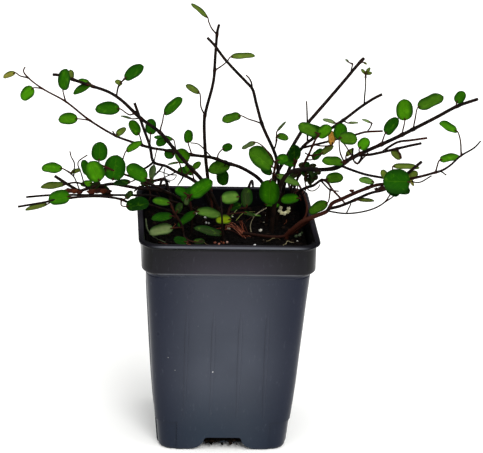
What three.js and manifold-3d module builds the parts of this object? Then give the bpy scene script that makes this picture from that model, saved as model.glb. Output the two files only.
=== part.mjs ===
// A potted wire vine: a square nursery pot filled with soil, and the thin dark stems with small round
// leaves that grow out of it. Millimetres, +Z up, the origin under the middle of the pot.

import * as THREE from 'three';
import { mergeVertices } from 'three/addons/utils/BufferGeometryUtils.js';
import Module from 'manifold-3d';

const wasm = await Module();
wasm.setup();

// Driving dimensions of the pot
const potHeight = 133;
const lipHalf = 51;             // half of the width over the lip
const lipTall = 2.6;
const bandHalf = 48.7;          // the collar under the lip
const bandFoot = 115.5;         // height where the collar steps in
const stepTall = 3;
const bodyTopHalf = 46.4;
const bodyMidHalf = 43.2;       // the sides bow out a little
const bodyMidHeight = 60;
const footTop = 19;             // the corner recesses end here
const footTopHalf = 39.8;
const baseHalf = 37.5;
const wall = 1.5;
const floorUnder = 2.5;
const floorTop = 4;
const lipCorner = 12;           // corner radii
const baseCorner = 8.5;
const recessDepth = 1.1;        // corner recess, below footTop
const panelShare = 0.7;         // share of a face between its two corner recesses
const recessEdge = 0.8;
const cornerSteps = 3;
const slotWide = 23;
const slotTall = 7.5;
const slotDeep = 5;
const padInner = 23.5;          // the solid corner feet start here
const ribPlaces = [-23.1, -7.7, 7.7, 23.1];
const ribWide = 1.8;
const ribProud = 0.65;          // at its ends; less where the side bows out
const ribLow = 20;
const ribHigh = 94;

// Driving dimensions of the soil and the plant
const clearance = 0.3;          // between a solid and the one it rests on or stands in
const soilLevel = 122;
const soilBump = 1.1;
const rootDepth = 12;
const rootRise = 2.2;           // a stem leaves its straight root this far above the soil
const stemSides = 4;
const twigSides = 3;
const twigRadius = 0.6;         // thinner stems have fewer sides
const stemStep = 9;
const petioleSides = 3;
const petioleRadius = 0.45;
const petioleTip = 0.22;
const bladeThick = 0.75;
const bladeEdges = 7;            // one edge at the base, one corner at the tip
const bladeRound = 0.8;         // width of a flat blade over its length
const bladeCup = 0.09;          // depth of its dish over its width
const bladeDroop = 0.07;        // fall of its tip over its length
const bladeSink = 0.9;          // how far a petiole runs into its blade
const searchShare = 0.1;        // how finely a rod's rows are searched for the nearest place

const joinTolerance = 0.04;    // slivers thinner than this are merged away where pieces join

// Stems are laid out as they are seen from the front: across and up on the plane through the pot's
// axis, and back behind that plane. The eye they are seen from turns them into places.
const eye = new THREE.Vector3(-80, -1205, 572);

const asSeen = {
  place([across, up, back]) {
    const reach = 1 - back / eye.y;
    return new THREE.Vector3(
      eye.x + (across - eye.x) * reach, back, eye.z + (up - eye.z) * reach);
  },
  read(point) {
    const reach = 1 - point.y / eye.y;
    return [eye.x + (point.x - eye.x) / reach, eye.z + (point.z - eye.z) / reach];
  },
};

// The stems behind the pot are laid out by their true places
const asPlaced = {
  place([across, up, back]) {
    return new THREE.Vector3(across, back, up);
  },
  read(point) {
    return [point.x, point.z];
  },
};

function solid(geometry) {
  geometry.deleteAttribute('normal');
  geometry.deleteAttribute('uv');
  const merged = mergeVertices(geometry, 1e-4);
  const mesh = new wasm.Mesh({
    numProp: 3,
    vertProperties: new Float32Array(merged.attributes.position.array),
    triVerts: new Uint32Array(merged.index.array),
    tolerance: joinTolerance,
  });
  mesh.merge();
  return new wasm.Manifold(mesh);
}

function geometryOf(body) {
  const mesh = body.getMesh();
  const geometry = new THREE.BufferGeometry();
  geometry.setAttribute('position', new THREE.BufferAttribute(new Float32Array(mesh.vertProperties), 3));
  geometry.setIndex(new THREE.BufferAttribute(new Uint32Array(mesh.triVerts), 1));
  geometry.computeVertexNormals();
  return geometry;
}

function box(wide, deep, tall, x, y, z) {
  return solid(new THREE.BoxGeometry(wide, deep, tall).translate(x, y, z));
}

// One round of a rounded square, with the step of its corner recesses
function squareRing(half, corner, recess) {
  const ring = [];
  const panel = half * panelShare;
  const centre = half - corner;
  for (let side = 0; side < 4; side += 1) {
    const turn = side * Math.PI / 2;
    const quarter = [[half, panel], [half - recess, panel + recessEdge]];
    for (let step = 0; step <= cornerSteps; step += 1) {
      const angle = step / cornerSteps * Math.PI / 2;
      quarter.push([
        centre + (corner - recess) * Math.cos(angle), centre + (corner - recess) * Math.sin(angle)]);
    }
    quarter.push([panel + recessEdge, half - recess], [panel, half]);
    quarter.forEach(([x, y]) => ring.push([
      x * Math.cos(turn) - y * Math.sin(turn), x * Math.sin(turn) + y * Math.cos(turn)]));
  }
  return ring;
}

// A lathe whose rounds are rounded squares; a profile point is [half, z, corner, recess]
function squareLathe(profile, relief = () => 0) {
  const around = squareRing(1, 0, 0).length;
  const points = profile.map(([half, z]) => new THREE.Vector2(half, z));
  const geometry = new THREE.LatheGeometry(points, around);
  const rings = profile.map(([half, , corner, recess]) => squareRing(half, corner, recess));
  const place = geometry.attributes.position;
  for (let index = 0; index < place.count; index += 1) {
    const round = Math.floor(index / profile.length) % around;
    const row = index % profile.length;
    const [x, y] = profile[row][0] > 0 ? rings[row][round] : [0, 0];
    place.setXYZ(index, x, y, profile[row][1] + relief(x, y, row));
  }
  return solid(geometry);
}

function cornerAt(z) {
  return THREE.MathUtils.lerp(baseCorner, lipCorner, z / potHeight);
}

function profilePoint(half, z, inset = 0, recess = 0) {
  return [half - inset, z, cornerAt(z) - inset, recess];
}

// Half of the body's width at a height between its foot and its collar
function bodyHalfAt(z) {
  return z < bodyMidHeight
    ? THREE.MathUtils.mapLinear(z, footTop, bodyMidHeight, footTopHalf, bodyMidHalf)
    : THREE.MathUtils.mapLinear(z, bodyMidHeight, bandFoot - stepTall, bodyMidHalf, bodyTopHalf);
}

function nurseryPot() {
  const lipFoot = potHeight - lipTall;
  const outside = [
    profilePoint(baseHalf, 0, 0, recessDepth),
    profilePoint(footTopHalf - 0.1, footTop - 1.2, 0, recessDepth),
    profilePoint(footTopHalf, footTop),
    profilePoint(bodyMidHalf, bodyMidHeight),
    profilePoint(bodyTopHalf, bandFoot - stepTall),
    profilePoint(bodyTopHalf + 1.6, bandFoot - stepTall / 2),
    profilePoint(bandHalf - 0.1, bandFoot),
    profilePoint(bandHalf, lipFoot),
    profilePoint(lipHalf, lipFoot + 0.3),
    profilePoint(lipHalf, potHeight - 0.5),
    profilePoint(lipHalf - 0.6, potHeight),
  ];
  const inside = [
    profilePoint(bandHalf, potHeight, wall),
    profilePoint(bandHalf - 0.1, bandFoot + 0.6, wall),
    profilePoint(bodyTopHalf, bandFoot - stepTall - 0.6, wall),
    profilePoint(bodyMidHalf, bodyMidHeight, wall),
    profilePoint(footTopHalf, footTop, wall + recessDepth),
    profilePoint(baseHalf, floorTop, wall + recessDepth),
  ];
  let pot = squareLathe([[0, 0, 0, 0], ...outside, ...inside, [0, floorTop, 0, 0]]);

  const across = 2 * (baseHalf - wall - recessDepth);
  pot = pot.subtract(box(2 * padInner, across, 2 * floorUnder, 0, 0, 0));
  pot = pot.subtract(box(across, 2 * padInner, 2 * floorUnder, 0, 0, 0));

  const ribSpread = bodyHalfAt(ribHigh) - bodyHalfAt(ribLow);
  const ribLean = Math.atan2(ribSpread, ribHigh - ribLow);
  const ribHalf = (bodyHalfAt(ribHigh) + bodyHalfAt(ribLow)) / 2;
  for (let side = 0; side < 4; side += 1) {
    const turn = side * Math.PI / 2;
    const slot = new THREE.BoxGeometry(slotWide, 2 * slotDeep, 2 * slotTall)
      .translate(0, -baseHalf, 0).rotateZ(turn);
    pot = pot.subtract(solid(slot));
    for (const place of ribPlaces) {
      const rib = new THREE.BoxGeometry(ribWide, 2 * ribProud, ribHigh - ribLow)
        .rotateX(ribLean)
        .translate(place, -ribHalf, (ribLow + ribHigh) / 2)
        .rotateZ(turn);
      pot = pot.add(solid(rib));
    }
  }
  return pot;
}

function soilRelief(x, y) {
  return soilBump * (0.5 * Math.sin(0.31 * x + 0.9) * Math.cos(0.27 * y)
    + 0.5 * Math.sin(0.17 * x - 0.23 * y + 2));
}

function soilBlock(roots) {
  const inset = wall + clearance;
  const rows = [0.75, 0.5, 0.25];
  const edge = bandHalf - inset;
  const sides = [
    profilePoint(baseHalf, floorTop + clearance, inset + recessDepth),
    profilePoint(footTopHalf, footTop, inset + recessDepth),
    profilePoint(bodyMidHalf, bodyMidHeight, inset),
    profilePoint(bodyTopHalf, bandFoot - stepTall - 0.6, inset),
    profilePoint(bandHalf - 0.1, bandFoot + 0.9, inset),
    profilePoint(bandHalf, soilLevel, inset),
  ];
  const lowest = sides.length;
  const top = rows.map((share) => [edge * share, soilLevel, lipCorner * share, 0]);
  let soil = squareLathe(
    [[0, floorTop + clearance, 0, 0], ...sides, ...top, [0, soilLevel, 0, 0]],
    (x, y, row) => (row >= lowest ? soilRelief(x, y) : 0));
  for (const { x, y, radius } of roots) {
    const hole = new THREE.CylinderGeometry(
      radius + 1.5 * clearance, radius + 1.5 * clearance, 2 * (rootDepth + clearance), 6);
    soil = soil.subtract(solid(hole.rotateX(Math.PI / 2).translate(x, y, soilLevel)));
  }
  return soil;
}

// The rows of a rod: every point of its route, and more on the smooth curve between far ones
function rowsAlong(route) {
  const curve = new THREE.CatmullRomCurve3(route, false, 'centripetal');
  const rows = [route[0]];
  for (let part = 1; part < route.length; part += 1) {
    const pieces = Math.max(1, Math.round(route[part - 1].distanceTo(route[part]) / stemStep));
    for (let piece = 1; piece <= pieces; piece += 1) {
      rows.push(curve.getPoint((part - 1 + piece / pieces) / (route.length - 1)));
    }
  }
  return rows;
}

// A tapered round rod through rows of points, turning as little as it can on the way
function rod(rows, sides, startRadius, endRadius) {
  const last = rows.length - 1;
  const geometry = new THREE.CylinderGeometry(1, 1, 1, sides, last);
  const frames = [];
  let across = new THREE.Vector3(0, 0.3, 1);
  rows.forEach((point, row) => {
    const along = rows[Math.min(row + 1, last)].clone().sub(rows[Math.max(row - 1, 0)]).normalize();
    across = across.clone().addScaledVector(along, -across.dot(along)).normalize();
    frames.push({ across, over: along.clone().cross(across) });
  });
  const place = geometry.attributes.position;
  const corner = new THREE.Vector3();
  for (let index = 0; index < place.count; index += 1) {
    corner.fromBufferAttribute(place, index);
    const row = Math.round((corner.y + 0.5) * last);
    const radius = THREE.MathUtils.lerp(startRadius, endRadius, row / last);
    const point = rows[row].clone()
      .addScaledVector(frames[row].over, corner.x * radius)
      .addScaledVector(frames[row].across, corner.z * radius);
    place.setXYZ(index, point.x, point.y, point.z);
  }
  return solid(geometry);
}

// A round to oval blade, dished alike on both faces, from its base to its tip
function blade(base, tip, seenWide) {
  const axis = tip.clone().sub(base);
  const long = axis.length();
  axis.normalize();
  const toEye = eye.clone().sub(base);
  const face = toEye.addScaledVector(axis, -toEye.dot(axis)).normalize();
  const wide = Math.max(seenWide, Math.min(bladeRound * long, 2 * seenWide));
  const tilt = Math.acos(seenWide / wide);
  const turned = [tilt, -tilt].map((angle) => face.clone().applyAxisAngle(axis, angle));
  const normal = turned[0].z > turned[1].z ? turned[0] : turned[1];
  const side = normal.clone().cross(axis);

  const halfEdge = Math.PI / bladeEdges;
  const geometry = new THREE.CylinderGeometry(1, 1, bladeThick, bladeEdges, 1, false, halfEdge);
  const place = geometry.attributes.position;
  const corner = new THREE.Vector3();
  for (let index = 0; index < place.count; index += 1) {
    corner.fromBufferAttribute(place, index);
    const along = (Math.cos(halfEdge) - corner.z) / (1 + Math.cos(halfEdge));
    const across = -corner.x * (1 + 0.12 * corner.z) * wide / 2;
    const rim = corner.x * corner.x + corner.z * corner.z;
    const lift = corner.y + bladeCup * wide * (rim - 1) - bladeDroop * long * along * along;
    const point = base.clone()
      .addScaledVector(axis, along * long)
      .addScaledVector(side, across)
      .addScaledVector(normal, lift);
    place.setXYZ(index, point.x, point.y, point.z);
  }
  return { body: solid(geometry), axis };
}

function leaf(base, tip, wide, way = [], depth = {}) {
  return { base, tip, wide, way, back: depth.back ?? 0, lean: depth.lean ?? 0 };
}

function stem(startRadius, endRadius, route) {
  return { startRadius, endRadius, route };
}

// The point of a sprig's stems that lies nearest to a place across and up
function nearest(points, [across, up], layout) {
  let best = points[0];
  let least = Infinity;
  for (const point of points) {
    const [x, z] = layout.read(point);
    const distance = Math.hypot(x - across, z - up);
    if (distance < least) {
      least = distance;
      best = point;
    }
  }
  return best.clone();
}

// One leafy stem as one body: its root, stems, petioles and blades
function sprig({ stems, leaves, layout = asSeen }) {
  const bodies = [];
  const carried = [];
  let root = null;
  stems.forEach(({ startRadius, endRadius, route }, number) => {
    let points;
    if (number === 0) {
      points = route.map(layout.place);
      const foot = points[0];
      root = { x: foot.x, y: foot.y, radius: startRadius };
      foot.z = soilLevel + rootRise;
      const tall = rootDepth + rootRise + 0.5;
      const peg = new THREE.CylinderGeometry(startRadius, startRadius, tall, stemSides)
        .rotateX(Math.PI / 2)
        .translate(foot.x, foot.y, soilLevel - rootDepth + tall / 2);
      bodies.push(solid(peg));
    } else {
      const start = nearest(carried, route[0], layout);
      let back = start.y;
      points = route.map(([across, up, depth]) => {
        back = depth ?? back;
        return layout.place([across, up, back]);
      });
      points[0] = start;
    }
    const rows = rowsAlong(points);
    const sides = startRadius < twigRadius ? twigSides : stemSides;
    bodies.push(rod(rows, sides, startRadius, endRadius));
    rows.slice(1).forEach((row, number) => {
      for (let share = 0; share <= 1; share += searchShare) {
        carried.push(rows[number].clone().lerp(row, share));
      }
    });
  });
  for (const { base, tip, wide, way, back, lean } of leaves) {
    const start = nearest(carried, way[0] ?? base, layout);
    const depth = start.y + back;
    const from = layout.place([...base, depth]);
    const to = layout.place([...tip, depth + lean]);
    const { body, axis } = blade(from, to, wide);
    bodies.push(body);
    const between = way.slice(1).map(([across, up]) => layout.place([across, up, depth]));
    const end = from.clone().addScaledVector(axis, bladeSink);
    const rows = rowsAlong([start, ...between, from, end]);
    bodies.push(rod(rows, petioleSides, petioleRadius, petioleTip));
  }
  return { body: wasm.Manifold.union(bodies), root };
}

const sprigs = {
  vine_long_left: {
    stems: [
      stem(1.1, 0.4, [
        [25, 133, 30], [24, 146, 31], [19.5, 155, 33], [8, 162.8, 37], [0, 165.4, 40],
        [-9, 168.6, 45], [-21, 170.2, 48], [-36, 172.8, 50], [-45.4, 174.3, 51], [-56.6, 177.8, 52],
        [-65, 181, 53], [-80.2, 190.2, 55], [-94, 201.2, 57], [-107.3, 208.7, 59], [-115.2, 214.9, 60],
        [-118, 218.8, 61], [-117, 221.3, 61]]),
      stem(0.4, 0.35, [[-9.3, 168.8], [-11, 170.5], [-12.8, 172.5], [-17.5, 176.8], [-22, 177.5]]),
      stem(0.4, 0.35, [[-65, 181], [-66, 182.4], [-67, 184]]),
    ],
    leaves: [
      leaf([-122.5, 217.8], [-129.6, 215.5], 3.3, [[-115.2, 214.9], [-120, 216]]),
      leaf([-112.3, 209], [-119.5, 202.5], 7.5, [[-107.3, 208.7]]),
      leaf([-95.6, 208], [-94.3, 220.3], 7, [[-94, 201.3], [-95, 205]]),
      leaf([-87, 191], [-98, 191], 7, [[-80.2, 190.2]]),
      leaf([-65, 181.5], [-59.5, 186], 4),
      leaf([-51.6, 182], [-56.7, 190.3], 6, [[-49.7, 176]]),
      leaf([-45.2, 182.2], [-44.9, 191.5], 6.8, [[-45, 174.5]]),
      leaf([-23.3, 177.3], [-23.3, 185.3], 5.5, [[-21.5, 170.4]], { back: 5 }),
      leaf([-32, 179.5], [-43, 181.3], 3, [[-29.5, 173.7]], { back: 4 }),
      leaf([-31, 170.5], [-37, 170.8], 6.3),
      leaf([-23.5, 166], [-29.5, 173], 8.5, [], { back: -4 }),
      leaf([-3.5, 173.8], [2.1, 176.4], 5, [[-6.3, 168.2], [-5.6, 171.2]], { back: 3 }),
      leaf([0.5, 164.3], [-10.5, 161.5], 7, [], { back: 4 }),
      leaf([-2.4, 161.5], [-3.2, 151.6], 7.6, [[-1, 165]], { back: 9 }),
    ],
  },
  vine_dark_left: {
    stems: [
      stem(1.15, 0.8, [
        [-2, 128, 14], [-8, 144, 13], [-14, 154, 11], [-24, 165, 8], [-31.7, 174, 6],
        [-39.6, 183.4, 4], [-51, 191.9, 0], 
        [-62.8, 203, -4], [-69.8, 207.4, -6], [-80.4, 211, -9], [-98, 216.8, -14],
        [-101.3, 217, -15]]),
      stem(0.5, 0.4, [[-65, 205], [-63.8, 211.3], [-61, 214.8]]),
    ],
    leaves: [
      leaf([-90.7, 213.8], [-91.2, 220], 3),
      leaf([-79.8, 211.6], [-90, 206.7], 4.5, [[-79, 210.6]], { back: -2 }),
      leaf([-80.5, 212.6], [-87, 214.3], 3, [[-79.4, 210.8]], { back: 3 }),
      leaf([-60.7, 215.3], [-50.6, 223.6], 6.5),
      leaf([-62, 212.3], [-66, 214], 2.8, [[-63.6, 211]]),
      leaf([-63, 197.4], [-77, 197.8], 7.6, [[-54, 194.5], [-57.5, 193.9]], { back: -4 }),
      leaf([-56, 191.5], [-62.5, 193.5], 1.4, [[-51, 191.9]], { back: 3 }),
      leaf([-37.7, 194.6], [-28.2, 204.8], 5.5, [[-39.2, 183], [-39.3, 186.5], [-38.4, 190]]),
      leaf([-36, 179], [-42, 176.5], 5, [], { back: 2 }),
    ],
  },
  vine_short_left: {
    stems: [
      stem(0.9, 0.8, [
        [-8, 133, 24], [-14, 150, 24], [-22, 156, 24], [-29.8, 159.7, 24], [-35.5, 163, 25],
        [-43, 165.5, 26], [-44.7, 171.8, 27], [-45.5, 175.6, 27], [-48.9, 184.9, 28], [-51.8, 193, 29],
        [-54.7, 201, 30]]),
      stem(0.7, 0.6, [[-43, 165.5], [-47, 162.2, 25], [-53, 159, 24]]),
      stem(0.4, 0.35, [[-30, 160], [-34, 157.5], [-38, 155.5]]),
    ],
    leaves: [
      leaf([-28.5, 165.5], [-35, 164.5], 1.5, [[-26, 158]], { back: 2 }),
      leaf([-44.5, 154.5], [-43, 163.5], 3.5, [[-38, 155.5]]),
      leaf([-20.5, 161.5], [-16, 166], 3.5, [[-24, 157]]),
      leaf([-21, 160], [-29, 161], 5, [[-19, 154]], { back: 4 }),
    ],
  },
  vine_tall: {
    stems: [
      stem(1.05, 0.75, [
        [-9.3, 137, 40], [-11.5, 157, 40], [-13, 168.7, 39], [-14.4, 192.6, 38],
        [-13.4, 198.5, 38], [-9.9, 214.8, 38], [-9.3, 230.3, 38],
        [-8.5, 244.8, 38], [-7.7, 248.2, 38]]),
    ],
    leaves: [
      leaf([-14.2, 252], [-23.3, 260.5], 2.6, [[-9.7, 242.7], [-12, 246], [-13.9, 250.4]]),
      leaf([-0.7, 229.3], [13.2, 231.2], 3.5, [[-9, 221], [-4.7, 224.5], [-2.2, 227]]),
      leaf([-17.6, 207.5], [-25.3, 212.5], 3.5, [[-15, 194.2], [-16.6, 199.3]]),
    ],
  },
  vine_cross_right: {
    stems: [
      stem(1.0, 0.75, [
        [30, 128, 15], [30, 155, 16], [28.1, 168.5, 17], [26.3, 173.6, 17.5],
        [21, 184.6, 18], [18.8, 189.7, 18], [15.2, 201.5, 18],
        [12.5, 210.6, 18], [10.1, 213.3, 18], [-3.4, 227.4, 18], 
        [-10.1, 236.1, 18], [-14.1, 240.3, 18]]),
      stem(0.5, 0.4, [[12.5, 210.6], [11.8, 214.4], [10.1, 217.3], [8.6, 218.7]]),
      stem(0.5, 0.4, [[26.5, 174], [27.5, 177.9], [27.7, 183]]),
    ],
    leaves: [
      leaf([6.5, 194.4], [-4.4, 192], 5.3, [[18.4, 189.9], [15.2, 191.1], [11, 192.4]]),
      leaf([27.6, 185], [32.3, 191.5], 1.4, [[27.7, 182]]),
      leaf([27.9, 182.5], [34.7, 181.5], 4.4, [[27.6, 180]]),
    ],
  },
  vine_right_upper: {
    stems: [
      stem(1.05, 0.9, [
        [26, 137, 35], [27, 150, 36], [29, 160, 38], [33, 168, 40], [37.2, 176.4, 42], 
        [43, 187.2, 47], [50.3, 197, 53], [55.3, 203.4, 57], 
        [65.1, 216.2, 65], [72.3, 225.8, 72], [75.7, 229.9, 75]]),
      stem(0.4, 0.35, [[68.5, 221], [69, 224], [69.5, 226.4]]),
    ],
    leaves: [
      leaf([68, 226.5], [64.9, 229.3], 1.6, [[69.5, 226]]),
      leaf([75.5, 227.2], [79.5, 225.5], 2, [[74, 227.8]], { back: -1 }),
    ],
  },
  vine_right_second: {
    stems: [
      stem(1.0, 0.8, [
        [32, 140, 25], [33, 150, 25], [36, 163, 27], [40, 171, 28], [43.6, 176.7, 30], 
        [52, 183.5, 31], [58.9, 187.5, 32], [67, 193.6, 33], 
        [74.8, 200.2, 34], [79.8, 204, 35], [83.6, 206.5, 35], [87.5, 208.6, 35]]),
      stem(0.45, 0.35, [[77, 202.8], [77.4, 207.4], [77.6, 213.7], [77.2, 220]]),
      stem(0.55, 0.4, [[44.8, 180], [44.9, 193], [44, 203.7]]),
      stem(0.7, 0.6, [
        [43.5, 175, 29], [52, 178, 28], [57, 179.4, 27], [66, 182, 25], [74.5, 184.3, 23],
        [78.6, 185.6, 22], [89.1, 186.4, 20]]),
      stem(0.4, 0.35, [[80, 185.6], [81.5, 188], [82.5, 190.7]]),
    ],
    leaves: [
      leaf([77.3, 220.5], [74.6, 223.4], 2, [[77.2, 219]]),
      leaf([77.3, 220.5], [80.9, 221.5], 2, [[77.2, 219]], { back: 1 }),
      leaf([77.4, 221], [79.5, 224.5], 2, [[77.2, 219]], { back: -1 }),
      leaf([82, 191.4], [76.7, 193.6], 1.6),
      leaf([68.6, 190.9], [74.6, 191.6], 1.6, [[65.5, 192]]),
      leaf([61.6, 190.8], [54, 193.4], 2.2),
    ],
  },
  vine_main_right: {
    stems: [
      stem(1.3, 0.9, [
        [27, 124, 5], [29, 145, 5], [35.5, 160, 4], [45, 162.5, 3], [54.5, 162.3, 2], [63.5, 163.5, 0],
        [70, 168.5, -3], [78, 173, -6], [90, 178.9, -12], [100.3, 184.2, -18], [106.7, 187.8, -22],
        [119.7, 195.2, -33], [131.6, 202.2, -42], [143, 206.6, -50]]),
      stem(0.8, 0.7, [
        [75, 171], [82.3, 171.9, -8], [90.8, 173.9, -11], [95.4, 175.1, -13], [105.6, 177.8, -17],
        [112, 179.3, -20]]),
      stem(0.7, 0.6, [
        [90, 174.2], [93, 176.6, -14], [98.7, 180, -17], [105.3, 181, -20], [115.2, 182.6, -24]]),
      stem(0.55, 0.45, [[78, 172], [76.8, 168.4], [75.2, 166.3], [74, 167.5]]),
      stem(0.8, 0.7, [
        [66, 165.3], [70.4, 163.1, -3], [75.7, 161.2, -6], [81.1, 159.6, -9], [91.6, 157.7, -15]]),
    ],
    leaves: [
      leaf([90.6, 184.8], [97, 194.6], 7, [[88.9, 179.2]]),
      leaf([101.6, 193], [100.5, 205.6], 9.6, [[100.4, 185.2]]),
      leaf([108.6, 201], [122.5, 208.8], 7, [[106.9, 188.2], [107.5, 194]]),
      leaf([130.8, 204.2], [134.7, 211], 6, [[131, 202]]),
      leaf([64, 181], [65, 190.5], 8, [[67, 167], [65, 173]], { back: 4 }),
      leaf([64, 182], [74.7, 181.5], 7.5, [[71.4, 170.5], [68, 177]], { back: -4 }),
      leaf([76, 175.5], [81, 181.5], 6.7, [[76, 172]], { back: -3 }),
      leaf([68.5, 171], [72.5, 175.5], 3, [[68.5, 168]]),
      leaf([67, 167], [54.8, 168.5], 5.5, [], { back: -2 }),
      leaf([101, 170], [95, 174.5], 4.5, [[98, 176]]),
    ],
  },
  vine_low_right: {
    stems: [
      stem(1.3, 0.4, [
        [36, 120, -7], [38.5, 124, -9], [45, 130, -12], [52.6, 133.6, -13], [59.2, 136.8, -14],
        [61.6, 141.3, -15], [66.9, 144.1, -18], [77.5, 149.4, -24], [87.7, 153.4, -29], [92, 154, -31],
        [100, 156, -38], [110.5, 158.3, -44], [120, 161.1, -50], [125.5, 163, -54], [129.7, 165.9, -57],
        [133.3, 169.6, -60], [136.1, 172.3, -63], [143.4, 177.2, -70], [146.6, 181.1, -74]]),
      stem(0.9, 0.7, [
        [60.5, 138.5], [65.8, 139.7, -16], [74, 143.3, -21], [83.9, 148.2, -27], [92.2, 150.5, -31],
        [98, 154.5, -36]]),
      stem(0.9, 0.8, [[100, 157], [106.2, 161.7, -42], [112.9, 168, -46]]),
      stem(0.5, 0.4, [
        [59.5, 137], [70.5, 135.4, -18], [84.3, 137.8, -27], [92.6, 142.6, -34], [96, 148, -38]]),
      stem(0.4, 0.35, [[92.6, 142.6], [96, 145, -36], [98.9, 147.4, -38]]),
      stem(0.4, 0.35, [[104, 157], [111.8, 155.2, -44], [119.3, 159.4, -48]]),
      stem(0.4, 0.35, [[124, 162.4], [126, 161.5], [128, 160]]),
      stem(0.4, 0.35, [[70.6, 136], [72, 139], [73, 141.5]]),
    ],
    leaves: [
      leaf([107, 155.5], [91.3, 156], 14, [[104, 156.8]], { back: -10 }),
      leaf([104, 158.5], [98, 151], 7.5, [], { back: -2 }),
      leaf([106.3, 157.4], [110.7, 162], 4.5, [[104, 157]], { back: 3 }),
      leaf([94, 156.5], [90, 162.5], 4),
      leaf([96.2, 165], [112, 165.5], 3.6, [[99, 156]], { back: 5 }),
      leaf([123.5, 169.2], [135, 172.5], 5, [[120.8, 162]], { back: -3 }),
      leaf([132.6, 187], [122.3, 192.4], 4.5, [[136, 172.3], [135.6, 175.2], [135.3, 178.3], [134.4, 183]]),
      leaf([85.8, 155.2], [77, 157], 4, [[82, 151.5]]),
      leaf([77.3, 143.8], [86.7, 144.2], 2.5, [[76, 143]], { back: -4 }),
    ],
  },
  vine_right_diagonal: {
    stems: [
      stem(1.05, 0.5, [
        [38, 138, 35], [42, 148, 33], [46, 151, 30], [50.3, 152.5, 24], [55.3, 156, 18], [58.7, 154.3, 12],
        [61.3, 150.5, 6], [66.5, 145, 0], [69.6, 141.5, -4]]),
      stem(0.5, 0.4, [[54.8, 155], [60.4, 149.9, 12], [65.3, 149.2, 9]]),
    ],
    leaves: [
      leaf([57.5, 156.5], [67.5, 158.5], 6.5, [[55.3, 156]]),
      leaf([59.3, 142], [48.3, 136.5], 6, [[60.9, 150]], { back: -9 }),
    ],
  },
  vine_low_left_a: {
    stems: [
      stem(1.0, 0.85, [
        [-20, 138, 38], [-35, 147, 36], [-52, 149.4, 33], [-60, 150.8, 32], [-67, 151.8, 30],
        [-74, 150.3, 28], [-80.5, 148.9, 25], [-85.4, 147.4, 22], [-90.7, 150.1, 19], [-99.7, 156, 15]]),
      stem(0.6, 0.5, [[-80, 149], [-84, 151.5], [-88, 152.3], [-95, 151]]),
      stem(0.4, 0.35, [[-85.4, 147.6], [-87, 151.8], [-89, 156], [-91.6, 158.6]]),
      stem(0.4, 0.35, [[-82.2, 150.5], [-84.6, 157.8, 28], [-86.6, 164.5, 29], [-81.2, 169.3, 30]]),
      stem(0.4, 0.35, [[-89.3, 156.4], [-88.8, 164.6, 18], [-90.5, 167.9, 17], [-91.3, 171.3, 17]]),
    ],
    leaves: [
      leaf([-95.5, 160.8], [-107.4, 161.7], 5.8, [[-91.6, 158.6]]),
      leaf([-90.5, 158.5], [-85, 160.5], 2.6, [[-90.5, 157.8]]),
      leaf([-94, 151], [-108, 150.2], 4),
      leaf([-78, 152], [-85, 151.5], 4, [], { back: 5 }),
    ],
  },
  vine_low_left_b: {
    stems: [
      stem(1.0, 0.85, [
        [-14, 134, 30], [-30, 141, 24], [-45, 145, 18], [-52, 145, 15], [-60.5, 145, 12],
        [-74.5, 144.8, 9], [-91.5, 144.7, 5], [-103.3, 144.3, 2], [-116.3, 143, 0]]),
    ],
    leaves: [
      leaf([-68, 146.5], [-75.5, 150.5], 5, [], { back: 2 }),
    ],
  },
  vine_low_left_c: {
    stems: [
      stem(1.05, 0.85, [
        [-22, 130, 22], [-38, 137, 15], [-50, 140.5, 8], [-57.3, 140.7, 4], [-61.3, 142.4, 0],
        [-74.5, 144, -5], [-95, 142.3, -12], [-107, 139.7, -16], [-121, 137, -20]]),
    ],
    leaves: [
      leaf([-91, 143.8], [-103.5, 142.3], 8.5, [[-90, 142.8]], { back: -4 }),
      leaf([-104, 138.8], [-117, 136], 3, [[-101, 141]]),
      leaf([-58.5, 138], [-45.5, 141.3], 7.5, [[-61, 142], [-61, 138.5]], { back: -4 }),
      leaf([-59, 143], [-55, 147.5], 3.5, [], { back: -2 }),
    ],
  },
  vine_leafy_left: {
    stems: [
      stem(0.9, 0.5, [
        [-18, 130, 18], [-24, 140, 15], [-40, 150, 8], [-55, 156, 0], [-66, 160, -6], [-75, 164, -10]]),
    ],
    leaves: [
      leaf([-74, 153.4], [-79.6, 165], 11, [[-70, 161.8]], { back: -4 }),
      leaf([-74.5, 165.5], [-74, 177], 9.3),
      leaf([-66.5, 154], [-64.2, 168.9], 12.5, [[-64, 159]], { back: -3 }),
      leaf([-46.5, 155], [-58, 163], 8.5, [[-48, 152.6]], { back: -3 }),
      leaf([-56, 153.2], [-66, 152.8], 3.6, [[-53, 154.6]], { back: -4 }),
      leaf([-59, 172], [-50.5, 178], 4.5, [[-63, 159], [-61, 166]], { back: 5 }),
    ],
  },
  shoot_right_a: {
    stems: [
      stem(0.9, 0.6, [[24, 131, 20], [25.5, 145, 16], [26.5, 156, 12], [28, 167, 9]]),
    ],
    leaves: [
      leaf([26, 163.5], [13, 174.5], 9.5),
      leaf([15.6, 178.5], [7.5, 175], 3, [[27, 166], [20, 176]], { back: 2 }),
      leaf([26, 159.5], [19.5, 163], 4.5, [], { back: 3 }),
      leaf([25, 155.5], [24.6, 140], 12, [], { back: -14 }),
      leaf([22.5, 140.3], [31.3, 140.5], 3, [[25, 139]], { back: -7 }),
      leaf([28.5, 167.5], [35, 169.3], 6.5),
      leaf([28.5, 158.3], [42.5, 154], 4.4, [], { back: -1 }),
    ],
  },
  shoot_right_b: {
    stems: [
      stem(0.8, 0.55, [[36, 131, 24], [37.5, 150, 23], [38.5, 163, 21], [40, 168, 20]]),
    ],
    leaves: [
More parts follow.
